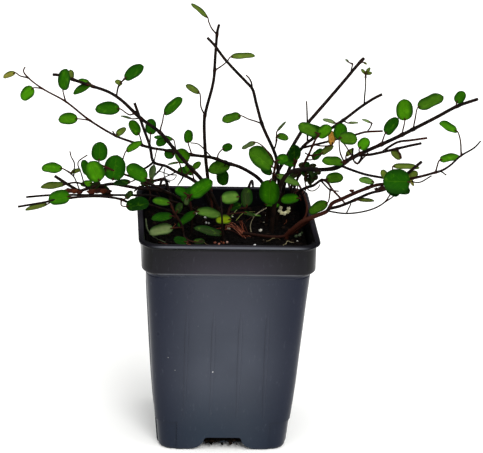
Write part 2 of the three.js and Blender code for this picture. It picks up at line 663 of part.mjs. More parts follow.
      leaf([38.5, 167.5], [38.5, 177], 7.5),
      leaf([39, 165.5], [32, 168], 5.5, [[38.7, 164]]),
      leaf([42.3, 144.6], [31.8, 143.6], 5.6, [[36.9, 142.5]], { back: -14 }),
    ],
  },
  shoot_mid_right: {
    stems: [
      stem(0.85, 0.55, [
        [34, 132, 18], [38, 146, 18], [42, 160, 15], [47, 172, 12], [50, 180, 9], [52, 184, 8]]),
    ],
    leaves: [
      leaf([51, 184.5], [40.2, 189.5], 7),
      leaf([51.5, 182.5], [58.5, 189], 7),
      leaf([60.3, 177.6], [59, 186], 4.6, [[49, 177], [54, 176.8]], { back: -2 }),
      leaf([54, 172], [60.5, 177.5], 4, [[46.5, 171]], { back: -3 }),
      leaf([49, 168.5], [54.5, 175], 4.5, [[45.5, 168]], { back: 4 }),
    ],
  },
  shoot_low_left: {
    stems: [
      stem(0.8, 0.5, [[-24, 118, -14], [-26, 127, -14], [-30, 134, -14], [-32.5, 139.5, -14]]),
      stem(0.5, 0.4, [[-24.8, 121.5], [-24, 119.5, -22], [-21.5, 117.2, -31]]),
    ],
    leaves: [
      leaf([-33, 140.5], [-43, 142.5], 4.5),
      leaf([-29, 134.5], [-26.5, 140.5], 3.8, [], { back: 2 }),
      leaf([-31.5, 132.5], [-43.5, 131.5], 5, [[-28.5, 131]]),
      leaf([-30.8, 125], [-44.8, 122.8], 6.3, [[-26, 126]], { back: -5 }),
      leaf([-22.5, 116.3], [-30, 118.4], 4.6, [[-21.8, 117.4]], { back: -3 }),
      leaf([-18.5, 116.6], [-12, 117.4], 3, [[-21.5, 117.2]], { back: -1 }),
    ],
  },
  shoot_low_front: {
    stems: [
      stem(0.8, 0.5, [[-2, 118, -12], [-1, 126, -12], [1, 134, -11], [3, 140, -9], [5, 145, -8]]),
    ],
    leaves: [
      leaf([-1.8, 121.4], [-18, 126.2], 4.8, [], { back: -4 }),
      leaf([3, 130.8], [-5.8, 130.6], 5.2, [[0, 130]], { back: -5 }),
      leaf([2, 137.5], [8.5, 140.5], 4),
      leaf([7.2, 145], [-3.3, 143.8], 7.4, [[4.3, 143]], { back: -4 }),
      leaf([12, 138.8], [11.4, 150.2], 6.6, [[3, 140], [7.5, 137.8]], { back: 2 }),
      leaf([10.5, 135.2], [17, 133.7], 2.2, [[0.8, 133.5]]),
    ],
  },
  shoot_low_middle: {
    stems: [
      stem(0.85, 0.5, [[-20, 124, 2], [-20, 132, 2], [-21, 140, 2], [-22.5, 146, 2]]),
    ],
    leaves: [
      leaf([-21.2, 145.3], [-9.3, 154.9], 9, [[-21.8, 143.5]]),
      leaf([-23.8, 146.4], [-30, 149.4], 5.5, [[-21.7, 143]]),
      leaf([-22.8, 144], [-24, 139.4], 3.5, [], { back: -3 }),
      leaf([-17.3, 135.6], [-3, 134.5], 5.6, [[-20, 133]], { back: -2 }),
      leaf([-18, 135], [-28.6, 127.2], 4.6, [[-20, 131]], { back: -7 }),
    ],
  },
  trailer_back_left: {
    layout: asPlaced,
    stems: [
      stem(0.95, 0.5, [
        [-30, 122, 36], [-32, 133, 42], [-34, 137, 50], [-36, 134.5, 57], [-37, 128, 62],
        [-37.5, 118, 65], [-36, 107, 68], [-33, 98, 71]]),
    ],
    leaves: [
      leaf([-36, 125.5], [-27.5, 122.5], 7, [[-37, 127]], { back: 3 }),
      leaf([-38.5, 123.5], [-45, 119], 8, [[-37.2, 124.5]]),
      leaf([-36, 117], [-27, 113], 8.5, [[-37.5, 117]], { back: 2 }),
      leaf([-37.5, 109.5], [-45, 104.5], 8, [[-36.5, 110.5]]),
      leaf([-32.5, 97], [-30, 86], 8.5),
    ],
  },
  trailer_back_middle: {
    layout: asPlaced,
    stems: [
      stem(0.9, 0.5, [
        [14, 122, 38], [15.5, 133, 44], [18, 136.6, 52], [19.5, 133, 59], [20, 124, 64],
        [18, 112, 67], [14, 101, 69]]),
      stem(0.55, 0.45, [[20, 124], [12, 122.5, 67], [4, 119, 69], [-2, 111, 70]]),
    ],
    leaves: [
      leaf([17, 107], [25.5, 102.5], 8, [[16.5, 107.5]], { back: 2 }),
      leaf([21, 122], [29, 117.5], 8.5, [[20, 122.5]]),
      leaf([17, 115.5], [8, 112], 8, [[18.5, 115.5]], { back: 2 }),
      leaf([13.5, 100], [9, 90], 8),
      leaf([2, 117.5], [-6.5, 119.5], 7, [[4, 119]]),
      leaf([-2.5, 110], [-5, 100], 8),
    ],
  },
  trailer_back_right: {
    layout: asPlaced,
    stems: [
      stem(0.95, 0.5, [
        [33, 122, 37], [35, 133.5, 44], [38, 137, 52], [41, 134, 60], [43, 127, 65], [44, 119, 68],
        [43, 110, 70]]),
    ],
    leaves: [
      leaf([41.5, 125.5], [34, 122], 7, [[43, 127]], { back: 3 }),
      leaf([44.5, 124.5], [48, 117.5], 7, [[43.3, 125]]),
      leaf([42.5, 116.5], [34.5, 112], 8, [[44, 117]], { back: 2 }),
      leaf([42.5, 109], [43, 98.5], 8),
    ],
  },
};

const plastic = { color: '#3f434c', roughness: 0.42, metalness: 0 };
const earth = { color: '#2b211b', roughness: 0.95, metalness: 0 };
const greenery = { color: '#4a6b26', roughness: 0.45, metalness: 0 };

function meshOf(name, body, look) {
  const mesh = new THREE.Mesh(geometryOf(body), new THREE.MeshStandardMaterial(look));
  mesh.name = name;
  return mesh;
}

const plant = new THREE.Group();
const roots = [];
for (const [name, plan] of Object.entries(sprigs)) {
  const { body, root } = sprig(plan);
  roots.push(root);
  plant.add(meshOf(name, body, greenery));
}

const group = new THREE.Group();
group.add(meshOf('nursery_pot', nurseryPot(), plastic));
group.add(meshOf('soil', soilBlock(roots), earth));
group.add(plant);

export default group;
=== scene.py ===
import math
import random

import bpy
from mathutils import Matrix, Vector, noise
from mathutils.kdtree import KDTree


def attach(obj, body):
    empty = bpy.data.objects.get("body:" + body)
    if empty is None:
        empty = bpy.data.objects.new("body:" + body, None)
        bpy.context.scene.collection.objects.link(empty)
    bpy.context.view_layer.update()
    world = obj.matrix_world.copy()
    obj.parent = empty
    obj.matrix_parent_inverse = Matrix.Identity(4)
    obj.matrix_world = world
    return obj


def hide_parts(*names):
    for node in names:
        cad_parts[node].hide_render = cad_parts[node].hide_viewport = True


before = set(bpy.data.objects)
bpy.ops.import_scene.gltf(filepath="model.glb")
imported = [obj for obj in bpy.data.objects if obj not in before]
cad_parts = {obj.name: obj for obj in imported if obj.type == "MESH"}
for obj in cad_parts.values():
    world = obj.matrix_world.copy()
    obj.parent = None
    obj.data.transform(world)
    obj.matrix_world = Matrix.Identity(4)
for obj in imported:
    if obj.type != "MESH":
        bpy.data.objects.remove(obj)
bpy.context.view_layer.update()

# Potted wire vine: square nursery pot, dark soil, wiry stems with small round leaves.
# Sizes in the tables are in millimetres; materials work in metres.
mm = 0.001


def clearSelection():
    if bpy.context.object and bpy.context.object.mode != "OBJECT":
        bpy.ops.object.mode_set(mode="OBJECT")
    bpy.ops.object.select_all(action="DESELECT")


def makeActive(piece):
    clearSelection()
    piece.select_set(True)
    bpy.context.view_layer.objects.active = piece


def editAll(piece):
    makeActive(piece)
    bpy.ops.object.mode_set(mode="EDIT")
    bpy.ops.mesh.select_all(action="SELECT")


# Ends an edit with every face looking outwards
def endEdit():
    bpy.ops.mesh.select_all(action="SELECT")
    bpy.ops.mesh.normals_make_consistent(inside=False)
    clearSelection()


def applyModifier(piece, kind, **settings):
    makeActive(piece)
    modifier = piece.modifiers.new(kind.title(), kind)
    for name, value in settings.items():
        setattr(modifier, name, value)
    bpy.ops.object.modifier_apply(modifier=modifier.name)


def cutWith(piece, cutter):
    applyModifier(piece, "BOOLEAN", object=cutter, operation="DIFFERENCE", solver="EXACT")
    bpy.data.objects.remove(cutter)


def placeInMesh(piece):
    makeActive(piece)
    bpy.ops.object.transform_apply(location=True, rotation=True, scale=True)


# Turns what was made for the front face to one of the four sides
def turnToSide(piece, side):
    placeInMesh(piece)
    piece.rotation_euler.z = side * math.pi / 2
    placeInMesh(piece)
    return piece


def joinPieces(pieces, name):
    makeActive(pieces[0])
    for piece in pieces:
        piece.select_set(True)
    bpy.ops.object.join()
    whole = bpy.context.object
    whole.name = name
    return whole


# Joins the pieces, smooths them below an angle in degrees, gives them their surfaces, hangs them under the
# root and hides the model's parts they stand for
def finishPiece(pieces, name, smooth, surfaces, slot, *nodes):
    whole = joinPieces(pieces, name)
    makeActive(whole)
    bpy.ops.object.shade_smooth_by_angle(angle=math.radians(smooth))
    for surface in surfaces:
        whole.data.materials.append(materials[surface])
    placeInMesh(whole)
    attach(whole, "root")
    if nodes:
        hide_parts(*nodes)


# Colours are sRGB hex values
def linearColour(hexValue):
    channels = [int(hexValue[at:at + 2], 16) / 255 for at in (1, 3, 5)]
    return [c / 12.92 if c <= 0.04045 else ((c + 0.055) / 1.055) ** 2.4 for c in channels] + [1.0]


# Gives each socket a number, a hex colour or what another node puts out
def feed(sockets, sources):
    for socket, source in zip(sockets, sources):
        if isinstance(source, bpy.types.Node):
            source = next(output for output in source.outputs if output.enabled)
        if isinstance(source, bpy.types.NodeSocket):
            socket.id_data.links.new(source, socket)
        else:
            socket.default_value = linearColour(source) if isinstance(source, str) else source


usualSettings = {"Mix": {"data_type": "RGBA"}, "MapRange": {"interpolation_type": "SMOOTHSTEP"}}


# Adds one node with its settings and, in their order, its inputs
def addNode(tree, kind, inputs=(), **settings):
    node = tree.nodes.new("ShaderNode" + kind)
    for name, value in {**usualSettings.get(kind, {}), **settings}.items():
        setattr(node, name, value)
    feed([socket for socket in node.inputs if socket.enabled], inputs)
    return node


# Lays one colour over another where the source goes from low to high
def layColour(tree, below, above, source, low, high, least=0.0, most=1.0):
    amount = addNode(tree, "MapRange", [source, low, high, least, most])
    return addNode(tree, "Mix", [amount, below, above])


def newMaterial(name):
    material = bpy.data.materials.new(name)
    material.use_nodes = True
    return material, material.node_tree


# Gives the material its colour and roughness, and bumps of a height, depth in metres and strength
def finishMaterial(material, colour, roughness, specular, *bumps):
    tree = material.node_tree
    shader = tree.nodes["Principled BSDF"].inputs
    feed([shader["Base Color"], shader["Roughness"]], [colour, roughness])
    shader["Specular IOR Level"].default_value = specular
    for height, depth, strength in bumps:
        bump = addNode(tree, "Bump")
        if shader["Normal"].links:
            tree.links.new(shader["Normal"].links[0].from_socket, bump.inputs["Normal"])
        feed([bump.inputs[name] for name in ("Height", "Distance", "Strength")], [height, depth, strength])
        feed([shader["Normal"]], [bump])
    return material


# The scale of a pattern is how many of its cells fit in a metre, so 1000 makes them 1 mm wide.

# Polypropylene, injection moulded and lightly grained: a satin charcoal with a little pale dust and a collar
# darker towards its top. Painted shade leaves each face greyer in the middle, near black towards its corners
# and darker towards its foot, and the inside above the soil near black; soft painted highlights lie on its
# edges, with a painted shade line under the lip
def makePotPlastic(name, specular):
    look = {"low": "#212a36", "middle": "#3b3f49", "high": "#343741", "cloud": "#2e323b",
            "corner": "#040a1e", "collarFoot": "#2a2830", "collarTop": "#1f1d23",
            "collarCornerShade": "#030307", "inside": "#050508", "edge": "#505258", "paintedLipShade": "#08080b",
            "scuff": "#6a6e78", "dust": "#c9cac6", "ior": 1.49,
            "clouds": 28,               # patches of 36 mm
            "scratches": 700,           # 1.4 mm wide and three times as high
            "specks": 240,              # a place for a speck of dust every 4 mm
            "grain": 1600}              # 0.6 mm, because the real 0.2 mm is too fine to show
    material, tree = newMaterial(name)
    place = addNode(tree, "TexCoord").outputs["Object"]
    x, y, height = addNode(tree, "SeparateXYZ", [place]).outputs
    wide, deep = (addNode(tree, "Math", [axis], operation="ABSOLUTE") for axis in (x, y))
    outward = addNode(tree, "Math", [wide, deep], operation="MAXIMUM")
    aside = addNode(tree, "Math", [wide, deep], operation="MINIMUM")
    # Painted shade: the faces and the collar turn near black towards the pot's rounded corners
    paintedCornerShade = addNode(tree, "MapRange", [aside, 0.008, 0.045, 0, 0.84])
    cloud = addNode(tree, "TexNoise", [place, look["clouds"], 4])
    # Painted shade: each face is darker towards its foot and a little darker just below the collar than in
    # its middle
    colour = layColour(tree, look["low"], look["middle"], height, 0.008, 0.055)
    colour = layColour(tree, colour, look["high"], height, 0.06, 0.11)
    colour = layColour(tree, colour, look["cloud"], cloud, 0.4, 0.7, 0, 0.35)
    colour = addNode(tree, "Mix", [paintedCornerShade, colour, look["corner"]])
    collar = layColour(tree, look["collarFoot"], look["collarTop"], height, 0.115, 0.129)
    collar = addNode(tree, "Mix", [paintedCornerShade, collar, look["collarCornerShade"]])
    colour = layColour(tree, colour, collar, height, 0.114, 0.115)
    # Painted shade: the inside of the wall above the soil is near black
    within = addNode(tree, "MapRange", [outward, 0.0487, 0.0483])
    paintedInsideShade = addNode(tree, "MapRange", [height, 0.1165, 0.1185, 0, within])
    colour = addNode(tree, "Mix", [paintedInsideShade, colour, look["inside"]])
    # Painted highlights: where the edge attribute is high, the lip's front-facing edges and the collar's
    # lower edge turn pale, less so towards the corners
    edge = addNode(tree, "Attribute", attribute_name="edge").outputs["Fac"]
    awayFromCorner = addNode(tree, "MapRange", [aside, 0.047, 0.036])
    colour = layColour(tree, colour, look["edge"], edge, 0.4, 1, 0, awayFromCorner)
    # Painted shade: where the edge attribute is below zero, a dark line lies under the lip
    colour = layColour(tree, colour, look["paintedLipShade"], edge, -0.1, -0.9)
    streaks = addNode(tree, "Mapping")
    feed([streaks.inputs["Vector"], streaks.inputs["Scale"]], [place, (1, 1, 0.3)])
    scratches = addNode(tree, "TexNoise", [streaks, look["scratches"], 3])
    colour = layColour(tree, colour, look["scuff"], scratches, 0.6, 0.82, 0, 0.11)
    specks = addNode(tree, "TexVoronoi", [place, look["specks"]])
    chance = addNode(tree, "SeparateColor", [specks.outputs["Color"]])
    rare = addNode(tree, "MapRange", [chance, 0.972, 0.982, 0, 0.4])
    colour = layColour(tree, colour, look["dust"], specks, 0.08, 0.03, 0, rare)
    rough = addNode(tree, "MapRange", [cloud, 0.3, 0.75, 0.27, 0.36])
    tree.nodes["Principled BSDF"].inputs["IOR"].default_value = look["ior"]
    grain = addNode(tree, "TexNoise", [place, look["grain"], 3])
    return finishMaterial(material, colour, rough, specular, (grain, 0.00004, 0.6), (cloud, 0.0004, 0.35))


# Peat and composted bark, loose and damp: near black brown crumbs that swallow the light
def makeSoilMaterial():
    look = {"dark": "#020101", "brown": "#0c0806", "lumps": 420}        # crumbs of 2.4 mm
    material, tree = newMaterial("dampPeatAndBark")
    place = addNode(tree, "TexCoord").outputs["Object"]
    lumps = addNode(tree, "TexNoise", [place, look["lumps"], 8, 0.7])
    colour = layColour(tree, look["dark"], look["brown"], lumps, 0.4, 0.68)
    return finishMaterial(material, colour, 0.9, 0.04, (lumps, 0.0012, 1))


# Crumbled bark, expanded perlite and dried fibre: dull and gritty, each bit in its own colour
def makeCrumbMaterial(name, roughness):
    look = {"grit": 1800, "gritty": 0.6}        # grit of half a millimetre and how much it shows
    material, tree = newMaterial(name)
    place = addNode(tree, "TexCoord").outputs["Object"]
    tint = addNode(tree, "Attribute", attribute_name="tint")
    grit = addNode(tree, "TexNoise", [place, look["grit"], 4])
    colour = addNode(tree, "Mix", [look["gritty"], tint, grit], blend_type="MULTIPLY")
    return finishMaterial(material, colour, roughness, 0.06, (grit, 0.0003, 1))


# Young wood under a thin smooth bark: near black where it is old, wine red towards the tips and on
# the leaf stalks, with a faint satin shine
def makeBark():
    look = {"old": "#070403", "warm": "#170c07", "young": "#3a190f", "green": "#36320f",
            "mottle": 260,              # patches of 4 mm
            "ridges": 1500}             # 0.7 mm apart, because the real 0.2 mm is too fine to show
    material, tree = newMaterial("wiryStemBark")
    place = addNode(tree, "TexCoord").outputs["Object"]
    youth = addNode(tree, "Attribute", attribute_name="youth").outputs["Fac"]
    mottle = addNode(tree, "TexNoise", [place, look["mottle"], 5])
    colour = layColour(tree, look["old"], look["warm"], mottle, 0.35, 0.65)
    colour = layColour(tree, colour, look["young"], youth, 0.25, 0.75)
    colour = layColour(tree, colour, look["green"], youth, 0.8, 1)
    ridges = addNode(tree, "TexNoise", [place, look["ridges"], 3])
    return finishMaterial(material, colour, 0.7, 0.06, (ridges, 0.00015, 1))


# Cut wood: a pale, fibrous disc at the end of a pruned stem
def makeCutWood():
    look = {"pith": "#5b4129", "wood": "#8d7452",
            "fibre": 2500}              # 0.4 mm, because the real 0.1 mm is too fine to show
    material, tree = newMaterial("prunedStemWood")
    place = addNode(tree, "TexCoord").outputs["Object"]
    fibre = addNode(tree, "TexNoise", [place, look["fibre"], 3])
    return finishMaterial(material, addNode(tree, "Mix", [fibre, look["pith"], look["wood"]]), 0.8, 0.5)


# Living leaf under a waxy skin: a faint shine above, paler and duller below, lightest in the middle of the
# blade and darker at its rim by painted shade, with a midrib and fine side veins that dimple it
def makeLeafMaterial():
    look = {"vein": "#5f9018", "under": "#4f7030", "edge": "#0a2a04",
            "blotch": 330,              # 3 mm wide
            "veinPairs": 7}             # under 2 mm apart on a leaf of 12 mm
    material, tree = newMaterial("waxyLeaf")
    place = addNode(tree, "TexCoord").outputs["Object"]

    across, along, _ = addNode(tree, "SeparateXYZ", [addNode(tree, "UVMap", uv_map="UVMap")]).outputs
    under = addNode(tree, "Attribute", attribute_name="under").outputs["Fac"]
    sums = {"across": across, "along": along, "under": under}
    for name, operation, *inputs in [
            ("fromRib", "SUBTRACT", "across", 0.5), ("aside", "ABSOLUTE", "fromRib"),
            ("slope", "MULTIPLY", "aside", 0.75), ("slant", "SUBTRACT", "along", "slope"),
            ("pairs", "MULTIPLY", "slant", look["veinPairs"]), ("tooth", "FRACT", "pairs"),
            ("fromVein", "SUBTRACT", "tooth", 0.5), ("comb", "ABSOLUTE", "fromVein"),
            ("double", "MULTIPLY", "along", 2), ("fromMiddle", "SUBTRACT", "double", 1),
            ("endwise", "ABSOLUTE", "fromMiddle"), ("sidewise", "MULTIPLY", "aside", 2),
            ("outward", "MAXIMUM", "sidewise", "endwise"), ("paler", "MULTIPLY", "under", 0.5)]:
        sums[name] = addNode(tree, "Math", [sums.get(key, key) for key in inputs], operation=operation)
    inBlade = addNode(tree, "MapRange", [sums["aside"], 0.46, 0.3, 0, 0.55])
    veins = addNode(tree, "MapRange", [sums["comb"], 0.07, 0.02, 0, inBlade])
    midrib = addNode(tree, "MapRange", [sums["aside"], 0.03, 0.012])
    net = addNode(tree, "Math", [midrib, veins], operation="MAXIMUM")
    faint = addNode(tree, "Math", [net, 0.1], operation="MULTIPLY")
    sunk = addNode(tree, "Math", [1, net], operation="SUBTRACT")
    tint = addNode(tree, "Attribute", attribute_name="tint")
    blotch = addNode(tree, "TexNoise", [place, look["blotch"], 5])
    colour = addNode(tree, "Mix", [0.5, tint, blotch], blend_type="MULTIPLY")
    colour = layColour(tree, colour, look["vein"], blotch, 0.55, 0.75, 0, 0.25)
    colour = addNode(tree, "Mix", [faint, colour, look["vein"]])
    # Painted shade: the blade darkens towards its rim
    colour = layColour(tree, colour, look["edge"], sums["outward"], 0.4, 0.95, 0, 0.85)
    colour = addNode(tree, "Mix", [sums["paler"], colour, look["under"]])
    rough = addNode(tree, "MapRange", [under, 0, 1, 0.46, 0.65], interpolation_type="LINEAR")
    return finishMaterial(material, colour, rough, 0.015, (sunk, 0.00018, 0.8), (blotch, 0.00025, 0.5))


print("materials")
materials = {
    "plastic": makePotPlastic("mouldedPolypropylene", 0.14),
    # The lip has its own plastic with almost no shine, so its highlights are painted
    "lip": makePotPlastic("polypropyleneLipWithPaintedHighlight", 0.03),
    "soil": makeSoilMaterial(),
    "crumb": makeCrumbMaterial("looseBarkCrumbs", 0.85),
    "perlite": makeCrumbMaterial("expandedPerlite", 0.95),
    "fibre": makeCrumbMaterial("driedRootFibre", 0.7),
    "bark": makeBark(),
    "cutWood": makeCutWood(),
    "leaf": makeLeafMaterial(),
}

# The camera stands where the photo was taken from: in front, a little to the left, looking down
stageLook = {
    "eye": (-0.07987, -1.20549, 0.57217),
    "yaw": -4.23,               # degrees
    "elevation": 20.24,
    "roll": 2.17,
    "lens": 163.98,             # mm, on a 36 mm sensor
    "floor": "#f9f9f7",
    "world": "#ffffff",
    "worldFront": 0.85,         # the room is bright behind the camera,
    "worldBack": 0.25,          # dark behind the pot
    "worldTop": 0.95,           # and brightest overhead, which keeps the shadows faint
    "lights": [                 # power, degrees right of the front, degrees up and softness
        ("softKey", 1.25, 14, 40, 22),
        ("softSide", 0.5, 72, 34, 34)],
}


# The way from the pot to something so many degrees right of the front and above the ground
def towards(side, high):
    side, high = math.radians(side), math.radians(high)
    return Vector((math.sin(side) * math.cos(high), -math.cos(side) * math.cos(high), math.sin(high)))


def addToScene(name, data):
    piece = bpy.data.objects.new(name, data)
    bpy.context.scene.collection.objects.link(piece)
    return piece


def makeCamera():
    backward = towards(stageLook["yaw"], stageLook["elevation"])
    level = Vector((0, 0, 1)).cross(backward).normalized()
    across = Matrix.Rotation(math.radians(stageLook["roll"]), 3, backward) @ level
    data = bpy.data.cameras.new("photoCamera")
    data.lens = stageLook["lens"]
    data.sensor_width = 36
    data.clip_end = 20
    camera = addToScene("photoCamera", data)
    axes = Matrix((across, backward.cross(across), backward)).transposed()
    camera.matrix_world = Matrix.Translation(stageLook["eye"]) @ axes.to_4x4()
    bpy.context.scene.camera = camera


def makeStage():
    clearSelection()
    bpy.ops.mesh.primitive_plane_add(size=8, location=(0, 0, 0))
    floor = bpy.context.object
    floor.name = "paleFloor"
    material, tree = newMaterial("matteWhiteTable")
    floor.data.materials.append(finishMaterial(material, stageLook["floor"], 0.9, 0.5))
    world = bpy.data.worlds.new("paleStudio")
    world.use_nodes = True
    tree = world.node_tree
    heading = addNode(tree, "TexCoord").outputs["Generated"]
    _, back, high = addNode(tree, "SeparateXYZ", [heading]).outputs
    around = addNode(tree, "MapRange", [back, -0.5, 0.55, stageLook["worldFront"], stageLook["worldBack"]])
    above = addNode(tree, "MapRange", [high, 0.25, 0.85, 0, stageLook["worldTop"]])
    strength = addNode(tree, "Math", [around, above], operation="ADD")
    feed(tree.nodes["Background"].inputs, [stageLook["world"], strength])
    bpy.context.scene.world = world
    for name, power, side, high, soft in stageLook["lights"]:
        data = bpy.data.lights.new(name, "SUN")
        data.energy = power
        data.angle = math.radians(soft)
        light = addToScene(name, data)
        light.location = towards(side, high) * 2
        light.rotation_euler = towards(side, high).to_track_quat("Z", "Y").to_euler()
    bpy.context.scene.view_settings.view_transform = "Standard"


print("camera and stage")
makeCamera()
makeStage()

pot = {
    "baseHalf": 36.4,
    "baseCorner": 8.0,
    "cornerSteps": 9,
    "outside": [                # half width and height, from the foot up to the lip
        (37.4, 0.4), (38.0, 1.3), (38.3, 2.8), (39.75, 17.8), (39.9, 19.2), (41.0, 30), (42.15, 43),
        (43.3, 60), (44.5, 77), (45.7, 94), (46.5, 104), (47.1, 111.9),
        (46.95, 112.1), (46.95, 112.4), (47.2, 112.7), (47.5, 113.3), (49.3, 115.1), (49.7, 115.7),
        (49.8, 116.4), (49.66, 129.2), (49.65, 129.9), (49.75, 130.3), (50.2, 130.9), (51.3, 131.7),
        (51.65, 132.0), (51.75, 132.4), (51.65, 132.9), (51.25, 133.3), (50.6, 133.5), (49.9, 133.6)],
    "inside": [                 # and down again to the floor
        (49.3, 133.5), (48.75, 133.2), (48.4, 132.7), (48.15, 132.0), (48.05, 131.3), (47.9, 117.2),
        (47.7, 116.2), (46.2, 113.6), (45.6, 111.6), (41.6, 60), (37.2, 19), (34.9, 4.0)],
    "wallRows": 12,             # how many rows of the outside lie below the collar,
    "footRows": 6,              # and how many make the core of the corner recesses
    "wall": 1.5,
    "panelHalf": 27.0,          # the part of each face between its corner recesses
    "recess": 0.75,
    "recessTop": 18.8,
    "footHalf": 39,             # half the pot's width at the recesses
    "past": 120,                # width of a cutter that reaches past the pot
    "slot": [                   # half width and height, from its top down to the ground
        (10.2, 8.1), (10.8, 7.5), (11.1, 6.4), (11.8, 4.8), (13.0, 3.3), (14.7, 2.0), (16.8, 1.1),
        (19.5, 0.4), (22.0, 0.0), (23.0, -3.0)],
    "slotTop": (9.4, 8.4),
    "slotDeep": 6,              # half of its depth, and how far out its middle lies
    "slotOut": 38.5,
    "floorUnder": 2.5,
    "padInner": 23.5,
    "ribs": (-23.1, -7.7, 7.7, 23.1),
    "ribWide": 1.4,             # half of its width and of its depth, with its middle inside the wall
    "ribDeep": 1.25,
    "ribSunk": 0.6,
    "ribFoot": 20.5,
    "ribTop": 96.0,
    "ribRows": 16,
    "bevel": 0.3,
    "sliver": 0.002,
    "lipSkin": 131.4,           # height from which the lip has its own plastic
    "lipGlow": (131.6, 132.9),  # heights from which the front and the back of the lip catch light
    "lipShade": (129.8, 49.3),  # height and half width of the shade under the lip
    "ledge": (114.8, 116, 49),  # heights and half width of the collar's bright lower edge
    "ledgeGlow": 0.8,
    "sideGlow": 0.35,
}


def wallHalf(z):
    heights = [(0, pot["baseHalf"])] + [(h, half) for half, h in pot["outside"][:pot["wallRows"]]]
    for (low, lowHalf), (high, highHalf) in zip(heights, heights[1:]):
        if z <= high:
            return lowHalf + (highHalf - lowHalf) * (z - low) / (high - low)


def boxPiece(wide, deep, low, high):
    clearSelection()
    bpy.ops.mesh.primitive_cube_add(size=1, location=(0, 0, (low + high) / 2 * mm))
    bpy.ops.transform.resize(value=(wide * mm, deep * mm, (high - low) * mm))
    piece = bpy.context.object
    placeInMesh(piece)
    return piece


def startPlane(half, z):
    clearSelection()
    bpy.ops.mesh.primitive_plane_add(size=2 * half * mm, location=(0, 0, z * mm))
    piece = bpy.context.object
    editAll(piece)
    return piece


# Extrudes what is selected to each height in turn, growing it to each half width
def extrudeTo(half, z, steps, deep=True):
    for nextHalf, nextZ in steps:
        bpy.ops.mesh.extrude_region_move(TRANSFORM_OT_translate={"value": (0, 0, (nextZ - z) * mm)})
        grow = nextHalf / half
        bpy.ops.transform.resize(value=(grow, grow if deep else 1, 1), center_override=(0, 0, 0))
        half, z = nextHalf, nextZ


def roundedPrism(steps):
    piece = startPlane(pot["baseHalf"], 0)
    bpy.ops.mesh.bevel(offset=pot["baseCorner"] * mm, segments=pot["cornerSteps"], affect="VERTICES")
    extrudeTo(pot["baseHalf"], 0, steps)
    endEdit()
    return piece


# What is cut from the foot of the pot at its four corners
def cornerRecesses():
    cutter = boxPiece(pot["past"], pot["past"], -2, pot["recessTop"])
    core = roundedPrism(pot["outside"][:pot["footRows"]])
    editAll(core)
    slim = 1 - pot["recess"] / pot["footHalf"]
    bpy.ops.transform.resize(value=(slim, slim, 1), center_override=(0, 0, 0))
    placeInMesh(core)
    cutWith(cutter, core)
    panel, further = 2 * pot["panelHalf"], pot["past"] + 20
    cutWith(cutter, boxPiece(panel, further, -5, 30))
    cutWith(cutter, boxPiece(further, panel, -5, 30))
    return cutter


def drainSlot(side):
    half, top = pot["slotTop"]
    slot = startPlane(half, top)
    bpy.ops.transform.resize(value=(1, pot["slotDeep"] / half, 1), center_override=(0, 0, 0))
    extrudeTo(half, top, pot["slot"], deep=False)
    endEdit()
    slot.location.y = -pot["slotOut"] * mm
    return turnToSide(slot, side)


# A low ridge that follows the bowed wall and sinks into it at both ends
def wallRib(across, side):
    clearSelection()
    foot, rows = pot["ribFoot"], pot["ribRows"]
    start = (across * mm, (pot["ribSunk"] - wallHalf(foot)) * mm, foot * mm)
    bpy.ops.mesh.primitive_circle_add(vertices=16, radius=mm, fill_type="NGON", location=start)
    rib = bpy.context.object
    editAll(rib)
    size, here = 0.5, foot
    bpy.ops.transform.resize(value=(pot["ribWide"] * size, pot["ribDeep"] * size, 1))
    for row in range(1, rows + 1):
        share = row / rows
        z = foot + (pot["ribTop"] - foot) * share
        nextSize = min(1, 0.5 + 4 * share, 0.72 + 0.5 * share, 0.4 + (1 - share) * 3)
        shift = wallHalf(z) - wallHalf(here)
        bpy.ops.mesh.extrude_region_move(
            TRANSFORM_OT_translate={"value": (0, -shift * mm, (z - here) * mm)})
        centre = (across * mm, (pot["ribSunk"] - wallHalf(z)) * mm, z * mm)
        bpy.ops.transform.resize(value=(nextSize / size, nextSize / size, 1), center_override=centre)
        size, here = nextSize, z
    endEdit()
    return turnToSide(rib, side)


# Says where the rolled lip and the collar's ledge catch the light, up to 1, and where it is shaded, -1
def paintLip(piece):
    layerData = piece.data.attributes.new("edge", "FLOAT", "POINT").data
    (glowFront, glowBack), (shade, shadeHalf) = pot["lipGlow"], pot["lipShade"]
    ledgeLow, ledgeHigh, ledgeHalf = pot["ledge"]
    for vertex, entry in zip(piece.data.vertices, layerData):
        outward, z = max(abs(vertex.co.x), abs(vertex.co.y)) / mm, vertex.co.z / mm
        if z > glowFront:
            caught = z > glowBack or vertex.co.y < 0
            entry.value = max(0, -vertex.normal.y * caught, pot["sideGlow"] * abs(vertex.normal.x))
        elif z > shade and outward > shadeHalf:
            entry.value = -1
        elif ledgeLow < z < ledgeHigh and outward > ledgeHalf:
            entry.value = pot["ledgeGlow"]
    for face in piece.data.polygons:
        face.material_index = int(face.center.z > pot["lipSkin"] * mm)


